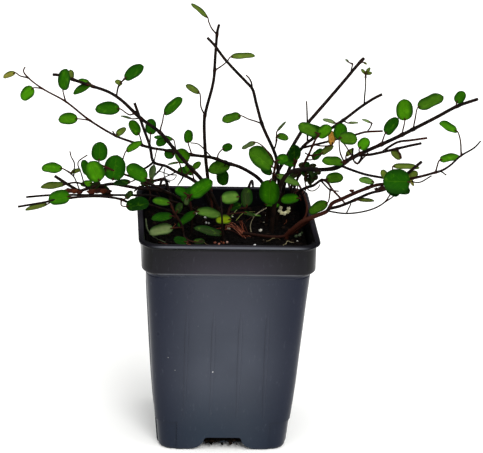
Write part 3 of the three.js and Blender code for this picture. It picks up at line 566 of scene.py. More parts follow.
def makePot():
    body = roundedPrism(pot["outside"] + pot["inside"])
    cutWith(body, cornerRecesses())
    reach, pads = 2 * (pot["baseHalf"] - pot["wall"] - pot["recess"]), 2 * pot["padInner"]
    cutWith(body, boxPiece(pads, reach, -3, pot["floorUnder"]))
    cutWith(body, boxPiece(reach, pads, -3, pot["floorUnder"]))
    for side in range(4):
        cutWith(body, drainSlot(side))
    applyModifier(body, "BEVEL", width=pot["bevel"] * mm, segments=2, limit_method="ANGLE",
                  angle_limit=math.radians(42))
    editAll(body)
    bpy.ops.mesh.remove_doubles(threshold=pot["sliver"] * mm)       # left by the cuts and the bevel
    bpy.ops.mesh.dissolve_degenerate(threshold=pot["sliver"] * mm)
    clearSelection()
    ribs = [wallRib(across, side) for side in range(4) for across in pot["ribs"]]
    whole = joinPieces([body] + ribs, "nurseryPot")
    paintLip(whole)
    finishPiece([whole], "nurseryPot", 32, ["plastic", "lip"], "pot_plastic", "nursery_pot")


print("pot")
makePot()

soil = {
    "level": 122.0,
    "half": 46.6,
    "corner": 10.6,
    "cells": 96,
    "bump": 1.1,
    "lump": 1.5,                # height of clods and of crumbs
    "crumb": 0.7,
    "sunk": 0.4,
    "crumbs": 1100,
    "rim": 1.2,                 # how far from the wall crumbs stop, and the corner they keep to
    "rimCorner": 10,
    "slotCrumbs": 110,
    "slotHalf": 9.5,            # where they lie in a slot: half width, heights, lean and way out
    "slotHeights": (2.4, 7.6),
    "slotLean": 0.12,
    "slotOut": 35.6,
    "grains": 16,
    "below": [(46.6, 116.5), (44.5, 111.4), (41.3, 60), (36.9, 19), (34.5, 4.4)],
    "fibres": 20,
    "fibreRows": 9,
    "fibreReach": 44,
    "fibreStep": 1.3,
    "fibreBend": 0.55,
    "fibreLift": (0.5, 0.9),
    "fibreRadii": (0.12, 0.32),
    "fibreTones": ["#6a3a28", "#7d4a30", "#8a7a58", "#4b2b20", "#a59a78"],
    "barkTones": ["#080504", "#100a07", "#060404", "#1d130d", "#0c0806"],
    "grainTones": ["#d9d6c8", "#c9c3a8", "#e6e2d2"],
}


# Height of the soil's skin over a place
def soilHeight(x, y):
    relief = soil["bump"] * (0.5 * math.sin(0.31 * x + 0.9) * math.cos(0.27 * y)
                             + 0.5 * math.sin(0.17 * x - 0.23 * y + 2))
    clods = noise.fractal(Vector((x, y, 0)) / 7.5, 1.0, 2.0, 3)
    fine = noise.fractal(Vector((x, y, 40)) / 2.2, 1.0, 2.0, 3)
    edge = max(abs(x), abs(y)) / soil["half"]
    calm = 1 - 0.8 * max(0, edge - 0.9) / 0.1
    return soil["level"] + relief + calm * (soil["lump"] * clods + soil["crumb"] * fine) - soil["sunk"]


# Bends a square sheet's corners round
def roundCorner(x, y, half, corner):
    centre = half - corner
    dx, dy = abs(x) - centre, abs(y) - centre
    if dx > 0 and dy > 0:
        reach = max(dx, dy)
        angle = math.atan2(dy, dx)
        x = math.copysign(centre + reach * math.cos(angle), x)
        y = math.copysign(centre + reach * math.sin(angle), y)
    return x, y


def makeSoil():
    clearSelection()
    half = soil["half"]
    bpy.ops.mesh.primitive_grid_add(
        x_subdivisions=soil["cells"], y_subdivisions=soil["cells"], size=2 * half * mm,
        location=(0, 0, soil["level"] * mm))
    block = bpy.context.object
    placeInMesh(block)
    for vertex in block.data.vertices:
        x, y = roundCorner(vertex.co.x / mm, vertex.co.y / mm, half, soil["corner"])
        vertex.co = Vector((x, y, soilHeight(x, y))) * mm
    editAll(block)
    bpy.ops.mesh.select_all(action="DESELECT")
    bpy.ops.mesh.select_mode(type="EDGE")
    bpy.ops.mesh.select_non_manifold()
    extrudeTo(half, soil["level"], soil["below"])
    bpy.ops.mesh.edge_face_add()
    bpy.ops.mesh.select_mode(type="VERT")
    endEdit()
    finishPiece([block], "soilBlock", 60, ["soil"], "potting_soil", "soil")


def paintTint(mesh, colour):
    layerData = (mesh.attributes.get("tint") or mesh.attributes.new("tint", "FLOAT_COLOR", "POINT")).data
    layerData.foreach_set("color", list(colour) * len(mesh.vertices))


# A rough lump of a few dozen faces, to be copied
def roughLump(draw, uneven):
    clearSelection()
    bpy.ops.mesh.primitive_ico_sphere_add(subdivisions=2, radius=0.5)
    lump = bpy.context.object
    offset = Vector((draw.random(), draw.random(), draw.random())) * 40
    for vertex in lump.data.vertices:
        vertex.co *= 1 + uneven * noise.noise(vertex.co * 3.1 + offset)
    return lump


# Copies the model to a place, stretched to a size on each axis and turned
def copyLump(model, place, turn, size, colour):
    mesh = model.data.copy()
    mesh.transform(Matrix.Translation(place * mm) @ turn @ Matrix.Diagonal((*(s * mm for s in size), 1)))
    paintTint(mesh, colour)
    return addToScene("lump", mesh)


# Crumbs of the sizes given, each flattened by a share between the two of flats
def scatterLumps(name, count, seed, sizes, flats, colours, place, surface):
    draw = random.Random(seed)
    models = [roughLump(draw, 0.9) for _ in range(5)]
    copies = []
    for _ in range(count):
        size = draw.uniform(*sizes) * draw.uniform(0.5, 1)
        spot = Vector(place(draw, size))
        turn = Matrix.Rotation(draw.uniform(0, 6.28), 4, "Z") @ Matrix.Rotation(
            draw.uniform(-0.5, 0.5), 4, "X")
        shape = (size, size * draw.uniform(0.5, 1), size * draw.uniform(*flats))
        tone = linearColour(draw.choice(colours))
        shade = draw.uniform(0.7, 1.2)
        colour = [c * shade for c in tone[:3]] + [1]
        copies.append(copyLump(draw.choice(models), spot, turn, shape, colour))
    for model in models:
        bpy.data.objects.remove(model)
    finishPiece(copies, name, 50, [surface], "potting_soil")


def onSoil(draw, size):
    reach = soil["half"] - soil["rim"] - size / 2
    x, y = roundCorner(draw.uniform(-reach, reach), draw.uniform(-reach, reach), reach, soil["rimCorner"])
    return x, y, soilHeight(x, y) + 0.1 * size


def inSlot(draw, size):
    side = draw.randrange(4)
    across = draw.uniform(-soil["slotHalf"], soil["slotHalf"])
    high = draw.uniform(*soil["slotHeights"]) - soil["slotLean"] * across
    spot = Vector((across, 0.2 * size - soil["slotOut"], high))
    return Matrix.Rotation(side * math.pi / 2, 3, "Z") @ spot


def grainPlace(draw, size):
    x, y, z = onSoil(draw, size)
    return x, y, z + 0.2 * size


# Rods along point lists, as one curve object turned into a mesh
def makeRods(name, rods, resolution=2):
    data = bpy.data.curves.new(name, "CURVE")
    data.dimensions = "3D"
    data.bevel_depth = mm
    data.bevel_resolution = resolution
    data.use_fill_caps = True
    for points, radii in rods:
        spline = data.splines.new("POLY")
        spline.points.add(len(points) - 1)
        for place, point, radius in zip(spline.points, points, radii):
            place.co = (*(point * mm), 1)
            place.radius = radius
    makeActive(addToScene(name, data))
    bpy.ops.object.convert(target="MESH")
    piece = bpy.context.object
    editAll(piece)
    bpy.ops.mesh.remove_doubles(threshold=0.00001)      # the caps come unjoined
    endEdit()
    return piece


def tintedRod(points, radii, tone):
    rod = makeRods("rod", [(points, radii)], 1)
    paintTint(rod.data, linearColour(tone))
    return rod


def makeFibres():
    draw = random.Random(31)
    rods = []
    rows, reach, step = soil["fibreRows"], soil["fibreReach"], soil["fibreStep"]
    middle = (rows - 1) / 2
    low, rise = soil["fibreLift"]
    for _ in range(soil["fibres"]):
        x, y = draw.uniform(-40, 40), draw.uniform(-42, 38)
        heading = draw.uniform(0, 6.28)
        points = []
        for row in range(rows):
            x = max(-reach, min(reach, x + step * math.cos(heading)))
            y = max(-reach, min(reach, y + step * math.sin(heading)))
            heading += draw.uniform(-soil["fibreBend"], soil["fibreBend"])
            lift = low + rise * math.sin(row / (rows - 1) * math.pi) * draw.uniform(0.3, 1)
            points.append(Vector((x, y, soilHeight(x, y) + lift)))
        radius = draw.uniform(*soil["fibreRadii"])
        radii = [radius * (1 - 0.5 * abs(row - middle) / middle) for row in range(rows)]
        rods.append(tintedRod(points, radii, draw.choice(soil["fibreTones"])))
    finishPiece(rods, "soilFibres", 60, ["fibre"], "potting_soil")


print("soil")
makeSoil()
scatterLumps("soilCrumbs", soil["crumbs"], 7, (0.9, 3.2), (0.35, 0.8), soil["barkTones"], onSoil, "crumb")
scatterLumps("slotCrumbs", soil["slotCrumbs"], 8, (1.2, 3.0), (0.6, 1), soil["barkTones"], inSlot, "crumb")
scatterLumps("perliteGrains", soil["grains"], 9, (1.0, 2.8), (0.6, 0.95), soil["grainTones"], grainPlace,
             "perlite")
makeFibres()

# Stems are laid out as they are seen from the front: across and up on the plane through the pot's
# axis, and back behind that plane. The eye turns them into places.
eye = Vector((-80, -1205, 572))


def seenPlace(across, upward, back):
    reach = 1 - back / eye.y
    return Vector((eye.x + (across - eye.x) * reach, back, eye.z + (upward - eye.z) * reach))


def readSeen(point):
    reach = 1 - point.y / eye.y
    return eye.x + (point.x - eye.x) / reach, eye.z + (point.z - eye.z) / reach


# The trailers behind the pot are laid out by their true places
def truePlace(across, upward, back):
    return Vector((across, back, upward))


def readTrue(point):
    return point.x, point.z


# A sprig is its stems and its leaves. A stem is its radius at the start and at the end, and its route;
# a side stem starts at the place on the others nearest to its first point, and a point without a back
# keeps the depth before it. A leaf is its base, tip, width and tone, and often how far it stands behind
# its stem and the way of its stalk, which starts on the nearest stem.
sprigs = {
    "vine_long_left": ([
        (1.1, 0.4, (25, 133, 30), (24, 146, 31), (19.5, 155, 33), (8, 162.8, 37), (0, 165.4, 40),
         (-9, 168.6, 45), (-21, 170.2, 48), (-36, 172.8, 50), (-45.4, 174.3, 51), (-56.6, 177.8, 52),
         (-65, 181, 53), (-80.2, 190.2, 55), (-94, 201.2, 57), (-107.3, 208.7, 59), (-115.2, 214.9, 60),
         (-118, 218.8, 61), (-117, 221.3, 61)),
        (0.4, 0.35, (-9.3, 168.8), (-11, 170.5), (-12.8, 172.5), (-17.5, 176.8), (-22, 177.5)),
        (0.4, 0.35, (-65, 181), (-66, 182.4), (-67, 184)),
    ], [
        ((-122.5, 217.8), (-129.6, 215.5), 3.3, "straw", 0, (-115.2, 214.9), (-120, 216)),
        ((-112.3, 209), (-119.5, 202.5), 7.5, "lime", 0, (-107.3, 208.7)),
        ((-95.6, 208), (-94.3, 220.3), 7, "mid", 0, (-94, 201.3), (-95, 205)),
        ((-87, 191), (-98, 191), 7, "bright", 0, (-80.2, 190.2)),
        ((-65, 181.5), (-59.5, 186), 4, "olive"),
        ((-51.6, 182), (-56.7, 190.3), 6, "mid", 0, (-49.7, 176)),
        ((-45.2, 182.2), (-44.9, 191.5), 6.8, "dark", 0, (-45, 174.5)),
        ((-23.3, 177.3), (-23.3, 185.3), 5.5, "mid", 5, (-21.5, 170.4)),
        ((-32, 179.5), (-43, 181.3), 3, "dark", 4, (-29.5, 173.7)),
        ((-31, 170.5), (-37, 170.8), 6.3, "dark"),
        ((-23.5, 166), (-29.5, 173), 8.5, "bright", -4),
        ((-3.5, 173.8), (2.1, 176.4), 5, "dark", 3, (-6.3, 168.2), (-5.6, 171.2)),
        ((1.2, 164.5), (-11.3, 161.4), 8.4, "warm", 4),
        ((-2.4, 161.5), (-3.2, 151.6), 7.6, "mid", 9, (-1, 165)),
    ]),
    "vine_dark_left": ([
        (1.15, 0.8, (-2, 128, 14), (-8, 144, 13), (-14, 154, 11), (-24, 165, 8), (-31.7, 174, 6),
         (-39.6, 183.4, 4), (-51, 191.9, 0), (-62.8, 203, -4), (-69.8, 207.4, -6), (-80.4, 211, -9),
         (-98, 216.8, -14), (-101.3, 217, -15)),
        (0.5, 0.4, (-65, 205), (-63.8, 211.3), (-61, 214.8)),
    ], [
        ((-90.7, 213.8), (-91.2, 220), 3, "olive"),
        ((-79.8, 211.6), (-90, 206.7), 4.5, "mid", -2, (-79, 210.6)),
        ((-80.5, 212.6), (-87, 214.3), 3, "mid", 3, (-79.4, 210.8)),
        ((-60.7, 215.3), (-50.6, 223.6), 6.5, "dark"),
        ((-62, 212.3), (-66, 214), 2.8, "olive", 0, (-63.6, 211)),
        ((-63, 197.4), (-77, 197.8), 7.6, "mid", -4, (-54, 194.5), (-57.5, 193.9)),
        ((-56, 191.5), (-62.5, 193.5), 1.4, "grey", 3, (-51, 191.9)),
        ((-37.7, 194.6), (-28.2, 204.8), 5.5, "mid", 0, (-39.2, 183), (-39.3, 186.5), (-38.4, 190)),
        ((-36, 179), (-42, 176.5), 5, "dark", 2),
    ]),
    "vine_short_left": ([
        (0.9, 0.8, (-8, 133, 24), (-14, 150, 24), (-22, 156, 24), (-29.8, 159.7, 24), (-35.5, 163, 25),
         (-43, 165.5, 26), (-44.7, 171.8, 27), (-45.5, 175.6, 27), (-48.9, 184.9, 28), (-51.8, 193, 29),
         (-54.7, 201, 30)),
        (0.7, 0.6, (-43, 165.5), (-47, 162.2, 25), (-53, 159, 24)),
        (0.4, 0.35, (-30, 160), (-34, 157.5), (-38, 155.5)),
    ], [
        ((-28.5, 165.5), (-35, 164.5), 1.5, "grey", 2, (-26, 158)),
        ((-44.5, 154.5), (-43, 163.5), 3.5, "grey", 0, (-38, 155.5)),
        ((-20.5, 161.5), (-16, 166), 3.5, "warm", 0, (-24, 157)),
        ((-21, 160), (-29, 161), 5, "dark", 4, (-19, 154)),
    ]),
    "vine_tall": ([
        (1.05, 0.75, (-9.3, 137, 40), (-11.5, 157, 40), (-13, 168.7, 39), (-14.4, 192.6, 38),
         (-13.4, 198.5, 38), (-9.9, 214.8, 38), (-9.3, 230.3, 38), (-8.5, 244.8, 38), (-7.7, 248.2, 38)),
    ], [
        ((-14.2, 252), (-23.3, 260.5), 2.6, "olive", 0, (-9.7, 242.7), (-12, 246), (-13.9, 250.4)),
        ((-0.7, 229.3), (13.2, 231.2), 3.5, "olive", 0, (-9, 221), (-4.7, 224.5), (-2.2, 227)),
        ((-17.6, 207.5), (-25.3, 212.5), 3.5, "olive", 0, (-15, 194.2), (-16.6, 199.3)),
    ]),
    "vine_cross_right": ([
        (1.0, 0.75, (30, 128, 15), (30, 155, 16), (28.1, 168.5, 17), (26.3, 173.6, 17.5), (21, 184.6, 18),
         (18.8, 189.7, 18), (15.2, 201.5, 18), (12.5, 210.6, 18), (10.1, 213.3, 18), (-3.4, 227.4, 18),
         (-10.1, 236.1, 18), (-14.1, 240.3, 18)),
        (0.5, 0.4, (12.5, 210.6), (11.8, 214.4), (10.1, 217.3), (8.6, 218.7)),
        (0.5, 0.4, (26.5, 174), (27.5, 177.9), (27.7, 183)),
    ], [
        ((6.5, 194.4), (-4.4, 192), 5.3, "warm", 0, (18.4, 189.9), (15.2, 191.1), (11, 192.4)),
        ((27.6, 185), (32.3, 191.5), 1.4, "grey", 0, (27.7, 182)),
        ((27.9, 182.5), (34.7, 181.5), 4.4, "warm", 0, (27.6, 180)),
    ]),
    "vine_right_upper": ([
        (1.05, 0.9, (26, 137, 35), (27, 150, 36), (29, 160, 38), (33, 168, 40), (37.2, 176.4, 42),
         (43, 187.2, 47), (50.3, 197, 53), (55.3, 203.4, 57), (65.1, 216.2, 65), (72.3, 225.8, 72),
         (75.7, 229.9, 75)),
        (0.4, 0.35, (68.5, 221), (69, 224), (69.5, 226.4)),
    ], [
        ((67.4, 227.2), (65.2, 229.1), 1.2, "grey", 0, (69.5, 226)),
        ((75.5, 227.4), (77.8, 226.5), 1.3, "olive", -1, (74, 227.8)),
    ]),
    "vine_right_second": ([
        (1.0, 0.8, (32, 140, 25), (33, 150, 25), (36, 163, 27), (40, 171, 28), (43.6, 176.7, 30),
         (52, 183.5, 31), (58.9, 187.5, 32), (67, 193.6, 33), (74.8, 200.2, 34), (79.8, 204, 35),
         (83.6, 206.5, 35), (87.5, 208.6, 35)),
        (0.45, 0.35, (77, 202.8), (77.4, 207.4), (77.6, 213.7), (77.2, 220)),
        (0.55, 0.4, (44.8, 180), (44.9, 193), (44, 203.7)),
        (0.7, 0.6, (43.5, 175, 29), (52, 178, 28), (57, 179.4, 27), (66, 182, 25), (74.5, 184.3, 23),
         (78.6, 185.6, 22), (89.1, 186.4, 20)),
        (0.4, 0.35, (80, 185.6), (81.5, 188), (82.5, 190.7)),
    ], [
        ((77.3, 220.5), (74.6, 223.4), 2, "olive", 0, (77.2, 219)),
        ((77.3, 220.5), (80.9, 221.5), 2, "olive", 1, (77.2, 219)),
        ((77.4, 221), (79.5, 224.5), 2, "olive", -1, (77.2, 219)),
        ((82, 191.4), (76.7, 193.6), 1.6, "pale"),
        ((68.6, 190.9), (74.6, 191.6), 1.6, "pale", 0, (65.5, 192)),
        ((61.6, 190.8), (54, 193.4), 2.2, "pale"),
    ]),
    "vine_main_right": ([
        (1.3, 0.9, (27, 124, 5), (29, 145, 5), (35.5, 160, 4), (45, 162.5, 3), (54.5, 162.3, 2),
         (63.5, 163.5, 0), (70, 168.5, -3), (78, 173, -6), (90, 178.9, -12), (100.3, 184.2, -18),
         (106.7, 187.8, -22), (119.7, 195.2, -33), (131.6, 202.2, -42), (143, 206.6, -50)),
        (0.8, 0.7, (75, 171), (82.3, 171.9, -8), (90.8, 173.9, -11), (95.4, 175.1, -13), (105.6, 177.8, -17),
         (112, 179.3, -20)),
        (0.7, 0.6, (90, 174.2), (93, 176.6, -14), (98.7, 180, -17), (105.3, 181, -20), (115.2, 182.6, -24)),
        (0.55, 0.45, (78, 172), (76.8, 168.4), (75.2, 166.3), (74, 167.5)),
        (0.8, 0.7, (66, 165.3), (70.4, 163.1, -3), (75.7, 161.2, -6), (81.1, 159.6, -9), (91.6, 157.7, -15)),
    ], [
        ((90.6, 184.8), (97, 194.6), 7, "dark", 0, (88.9, 179.2)),
        ((101.6, 193), (100.5, 205.6), 9.6, "bright", 0, (100.4, 185.2)),
        ((108.6, 201), (122.5, 208.8), 7, "warm", 0, (106.9, 188.2), (107.5, 194)),
        ((130.8, 204.2), (134.7, 211), 6, "mid", 0, (131, 202)),
        ((64, 181), (65, 190.5), 8, "mid", 4, (67, 167), (65, 173)),
        ((64, 182), (74.7, 181.5), 7.5, "warm", -4, (71.4, 170.5), (68, 177)),
        ((76, 175.5), (81, 181.5), 6.7, "lime", -3, (76, 172)),
        ((68.5, 171), (72.5, 175.5), 3, "olive", 0, (68.5, 168)),
        ((67, 167), (54.8, 168.5), 5.5, "warm", -2),
        ((101, 170), (95, 174.5), 4.5, "olive", 0, (98, 176)),
    ]),
    "vine_low_right": ([
        (1.3, 0.4, (36, 120, -7), (38.5, 124, -9), (45, 130, -12), (52.6, 133.6, -13), (59.2, 136.8, -14),
         (61.6, 141.3, -15), (66.9, 144.1, -18), (77.5, 149.4, -24), (87.7, 153.4, -29), (92, 154, -31),
         (100, 156, -38), (110.5, 158.3, -44), (120, 161.1, -50), (125.5, 163, -54), (129.7, 165.9, -57),
         (133.3, 169.6, -60), (136.1, 172.3, -63), (143.4, 177.2, -70), (146.6, 181.1, -74)),
        (0.9, 0.7, (60.5, 138.5), (65.8, 139.7, -16), (74, 143.3, -21), (83.9, 148.2, -27),
         (92.2, 150.5, -31), (98, 154.5, -36)),
        (0.9, 0.8, (100, 157), (106.2, 161.7, -42), (112.9, 168, -46)),
        (0.5, 0.4, (59.5, 137), (70.5, 135.4, -18), (84.3, 137.8, -27), (92.6, 142.6, -34), (96, 148, -38)),
        (0.4, 0.35, (92.6, 142.6), (96, 145, -36), (98.9, 147.4, -38)),
        (0.4, 0.35, (104, 157), (111.8, 155.2, -44), (119.3, 159.4, -48)),
        (0.4, 0.35, (124, 162.4), (126, 161.5), (128, 160)),
        (0.4, 0.35, (70.6, 136), (72, 139), (73, 141.5)),
    ], [
        ((107, 155.5), (91.3, 156), 14, "dark", -10, (104, 156.8)),
        ((104, 158.5), (98, 151), 7.5, "dark", -2),
        ((106.3, 157.4), (110.7, 162), 4.5, "olive", 3, (104, 157)),
        ((94, 156.5), (90, 162.5), 4, "olive"),
        ((96.2, 165), (112, 165.5), 3.6, "olive", 5, (99, 156)),
        ((123.5, 169.2), (135, 172.5), 5, "bright", -3, (120.8, 162)),
        ((132.6, 187), (122.3, 192.4), 4.5, "bright", 0, (136, 172.3), (135.6, 175.2), (135.3, 178.3),
         (134.4, 183)),
        ((85.8, 155.2), (77, 157), 3.6, "soft", 0, (82, 151.5)),
        ((77.3, 143.8), (86.7, 144.2), 2.5, "olive", -4, (76, 143)),
    ]),
    "vine_right_diagonal": ([
        (1.05, 0.5, (38, 138, 35), (42, 148, 33), (46, 151, 30), (50.3, 152.5, 24), (55.3, 156, 18),
         (58.7, 154.3, 12), (61.3, 150.5, 6), (66.5, 145, 0), (69.6, 141.5, -4)),
        (0.5, 0.4, (54.8, 155), (60.4, 149.9, 12), (65.3, 149.2, 9)),
    ], [
        ((57.5, 156.5), (67.5, 158.5), 6.5, "warm", 0, (55.3, 156)),
        ((59.3, 142), (48.3, 136.5), 6, "warm", -9, (60.9, 150)),
    ]),
    "vine_low_left_a": ([
        (1.0, 0.85, (-20, 138, 38), (-35, 147, 36), (-52, 149.4, 33), (-60, 150.8, 32), (-67, 151.8, 30),
         (-74, 150.3, 28), (-80.5, 148.9, 25), (-85.4, 147.4, 22), (-90.7, 150.1, 19), (-99.7, 156, 15)),
        (0.6, 0.5, (-80, 149), (-84, 151.5), (-88, 152.3), (-95, 151)),
        (0.4, 0.35, (-85.4, 147.6), (-87, 151.8), (-89, 156), (-91.6, 158.6)),
        (0.4, 0.35, (-82.2, 150.5), (-84.6, 157.8, 28), (-86.6, 164.5, 29), (-81.2, 169.3, 30)),
        (0.4, 0.35, (-89.3, 156.4), (-88.8, 164.6, 18), (-90.5, 167.9, 17), (-91.3, 171.3, 17)),
    ], [
        ((-95.5, 160.8), (-107.4, 161.7), 5.8, "bright", 0, (-91.6, 158.6)),
        ((-90.5, 158.5), (-85, 160.5), 2.6, "olive", 0, (-90.5, 157.8)),
        ((-94, 151), (-108, 150.2), 4, "olive"),
        ((-78, 152), (-85, 151.5), 4, "bright", 5),
    ]),
    "vine_low_left_b": ([
        (1.0, 0.85, (-14, 134, 30), (-30, 141, 24), (-45, 145, 18), (-52, 145, 15), (-60.5, 145, 12),
         (-74.5, 144.8, 9), (-91.5, 144.7, 5), (-103.3, 144.3, 2), (-116.3, 143, 0)),
    ], [
        ((-68, 146.5), (-75.5, 150.5), 5, "dead", 2),
    ]),
    "vine_low_left_c": ([
        (1.05, 0.85, (-22, 130, 22), (-38, 137, 15), (-50, 140.5, 8), (-57.3, 140.7, 4), (-61.3, 142.4, 0),
         (-74.5, 144, -5), (-95, 142.3, -12), (-107, 139.7, -16), (-121, 137, -20)),
    ], [
        ((-91, 143.8), (-103.5, 142.3), 8.5, "mid", -4, (-90, 142.8)),
        ((-104, 138.8), (-117, 136), 3, "olive", 0, (-101, 141)),
        ((-58.5, 138), (-45.5, 141.3), 7.5, "deep", -4, (-61, 142), (-61, 138.5)),
        ((-59, 143), (-55, 147.5), 3.5, "dusk", -2),
    ]),
    "vine_leafy_left": ([
        (0.9, 0.5, (-18, 130, 18), (-24, 140, 15), (-40, 150, 8), (-55, 156, 0), (-66, 160, -6),
         (-75, 164, -10)),
    ], [
        ((-74, 153.4), (-79.6, 165), 11, "bright", -4, (-70, 161.8)),
        ((-74.5, 165.5), (-74, 177), 9.3, "dark"),
        ((-66.5, 154), (-64.2, 168.9), 12.5, "dark", -3, (-64, 159)),
        ((-46.5, 155), (-58, 163), 8.5, "mid", -3, (-48, 152.6)),
        ((-56, 153.2), (-66, 152.8), 3.6, "deep", -4, (-53, 154.6)),
        ((-59, 172), (-50.5, 178), 4.5, "bright", 5, (-63, 159), (-61, 166)),
    ]),
    "shoot_right_a": ([
        (0.9, 0.6, (24, 131, 20), (25.5, 145, 16), (26.5, 156, 12), (28, 167, 9)),
    ], [
        ((26, 163.5), (13, 174.5), 11.2, "warm"),
        ((15.6, 178.5), (7.5, 175), 3, "grey", 2, (27, 166), (20, 176)),
        ((26, 159.5), (19.5, 163), 4.5, "dark", 3),
        ((25, 155.5), (24.6, 140), 12, "mid", -14),
        ((22.5, 140.3), (31.3, 140.5), 3, "mid", -7, (25, 139)),
        ((28.5, 167.5), (35, 169.3), 6.5, "mid"),
        ((28.5, 158.3), (42.5, 154), 4.4, "soft", -1),
    ]),
    "shoot_right_b": ([
        (0.8, 0.55, (36, 131, 24), (37.5, 150, 23), (38.5, 163, 21), (40, 168, 20)),
    ], [
        ((38.5, 167.5), (38.5, 177), 7.5, "deep"),
        ((39, 165.5), (32, 168), 5.5, "dark", 0, (38.7, 164)),
        ((42.3, 144.6), (31.8, 143.6), 5.6, "mid", -14, (36.9, 142.5)),
    ]),
    "shoot_mid_right": ([
        (0.85, 0.55, (34, 132, 18), (38, 146, 18), (42, 160, 15), (47, 172, 12), (50, 180, 9), (52, 184, 8)),
    ], [
        ((51, 184.5), (40.2, 189.5), 7, "warm"),
        ((51.5, 182.5), (58.5, 189), 7, "bright"),
        ((60.3, 177.6), (59, 186), 4.6, "ochre", -2, (49, 177), (54, 176.8)),
        ((54, 172), (60.5, 177.5), 4, "olive", -3, (46.5, 171)),
        ((49, 168.5), (54.5, 175), 4.5, "dark", 4, (45.5, 168)),
    ]),
    "shoot_low_left": ([
        (0.8, 0.5, (-24, 118, -14), (-26, 127, -14), (-30, 134, -14), (-32.5, 139.5, -14)),
        (0.5, 0.4, (-24.8, 121.5), (-24, 119.5, -22), (-21.5, 117.2, -31)),
    ], [
        ((-33, 140.5), (-43, 142.5), 4.5, "warm"),
        ((-29, 134.5), (-26.5, 140.5), 3.8, "dusk", 2),
        ((-31.5, 132.5), (-43.5, 131.5), 5, "dark", 0, (-28.5, 131)),
        ((-30.8, 125), (-44.8, 122.8), 6.3, "pale", -5, (-26, 126)),
        ((-22.5, 116.3), (-30, 118.4), 4.6, "deep", -3, (-21.8, 117.4)),
        ((-18.5, 116.6), (-12, 117.4), 3, "dead", -1, (-21.5, 117.2)),
    ]),
    "shoot_low_front": ([
        (0.8, 0.5, (-2, 118, -12), (-1, 126, -12), (1, 134, -11), (3, 140, -9), (5, 145, -8)),
    ], [
        ((-1.8, 121.4), (-18, 126.2), 4.8, "dusk", -4),
        ((3, 130.8), (-5.8, 130.6), 5.2, "yellow", -5, (0, 130)),
        ((2, 137.5), (8.5, 140.5), 4, "deep"),
        ((7.2, 145), (-3.3, 143.8), 7.4, "soft", -4, (4.3, 143)),
        ((12, 138.8), (11.4, 150.2), 6.6, "dusk", 2, (3, 140), (7.5, 137.8)),
        ((10.5, 135.2), (17, 133.7), 2.2, "dusk", 0, (0.8, 133.5)),
    ]),
    "shoot_low_middle": ([
        (0.85, 0.5, (-20, 124, 2), (-20, 132, 2), (-21, 140, 2), (-22.5, 146, 2)),
    ], [
        ((-21.2, 145.3), (-9.3, 154.9), 9, "mid", 0, (-21.8, 143.5)),
        ((-23.8, 146.4), (-30, 149.4), 5.5, "dark", 0, (-21.7, 143)),
        ((-22.8, 144), (-24, 139.4), 3.5, "grey", -3),
        ((-17.3, 135.6), (-3, 134.5), 5.6, "soft", -2, (-20, 133)),
        ((-18, 135), (-28.6, 127.2), 4.6, "dark", -7, (-20, 131)),
    ]),
    "trailer_back_left": ([
        (0.95, 0.5, (-30, 122, 36), (-32, 133, 42), (-34, 137, 50), (-36, 134.5, 57), (-37, 128, 62),
         (-37.5, 118, 65), (-36, 107, 68), (-33, 98, 71)),
    ], [
        ((-36, 125.5), (-27.5, 122.5), 7, "mid", 3, (-37, 127)),
        ((-38.5, 123.5), (-45, 119), 8, "dark", 0, (-37.2, 124.5)),
        ((-36, 117), (-27, 113), 8.5, "mid", 2, (-37.5, 117)),
        ((-37.5, 109.5), (-45, 104.5), 8, "mid", 0, (-36.5, 110.5)),
        ((-32.5, 97), (-30, 86), 8.5, "bright"),
    ]),
    "trailer_back_middle": ([
        (0.9, 0.5, (14, 122, 38), (15.5, 133, 44), (18, 136.6, 52), (19.5, 133, 59), (20, 124, 64),
         (18, 112, 67), (14, 101, 69)),
        (0.55, 0.45, (20, 124), (12, 122.5, 67), (4, 119, 69), (-2, 111, 70)),
    ], [
        ((17, 107), (25.5, 102.5), 8, "mid", 2, (16.5, 107.5)),
        ((21, 122), (29, 117.5), 8.5, "bright", 0, (20, 122.5)),
        ((17, 115.5), (8, 112), 8, "dark", 2, (18.5, 115.5)),
        ((13.5, 100), (9, 90), 8, "mid"),
        ((2, 117.5), (-6.5, 119.5), 7, "mid", 0, (4, 119)),
        ((-2.5, 110), (-5, 100), 8, "dark"),
    ]),
    "trailer_back_right": ([
        (0.95, 0.5, (33, 122, 37), (35, 133.5, 44), (38, 137, 52), (41, 134, 60), (43, 127, 65),
         (44, 119, 68), (43, 110, 70)),
    ], [
        ((41.5, 125.5), (34, 122), 7, "mid", 3, (43, 127)),
        ((44.5, 124.5), (48, 117.5), 7, "dark", 0, (43.3, 125)),
        ((42.5, 116.5), (34.5, 112), 8, "mid", 2, (44, 117)),
        ((42.5, 109), (43, 98.5), 8, "dark"),
    ]),
}

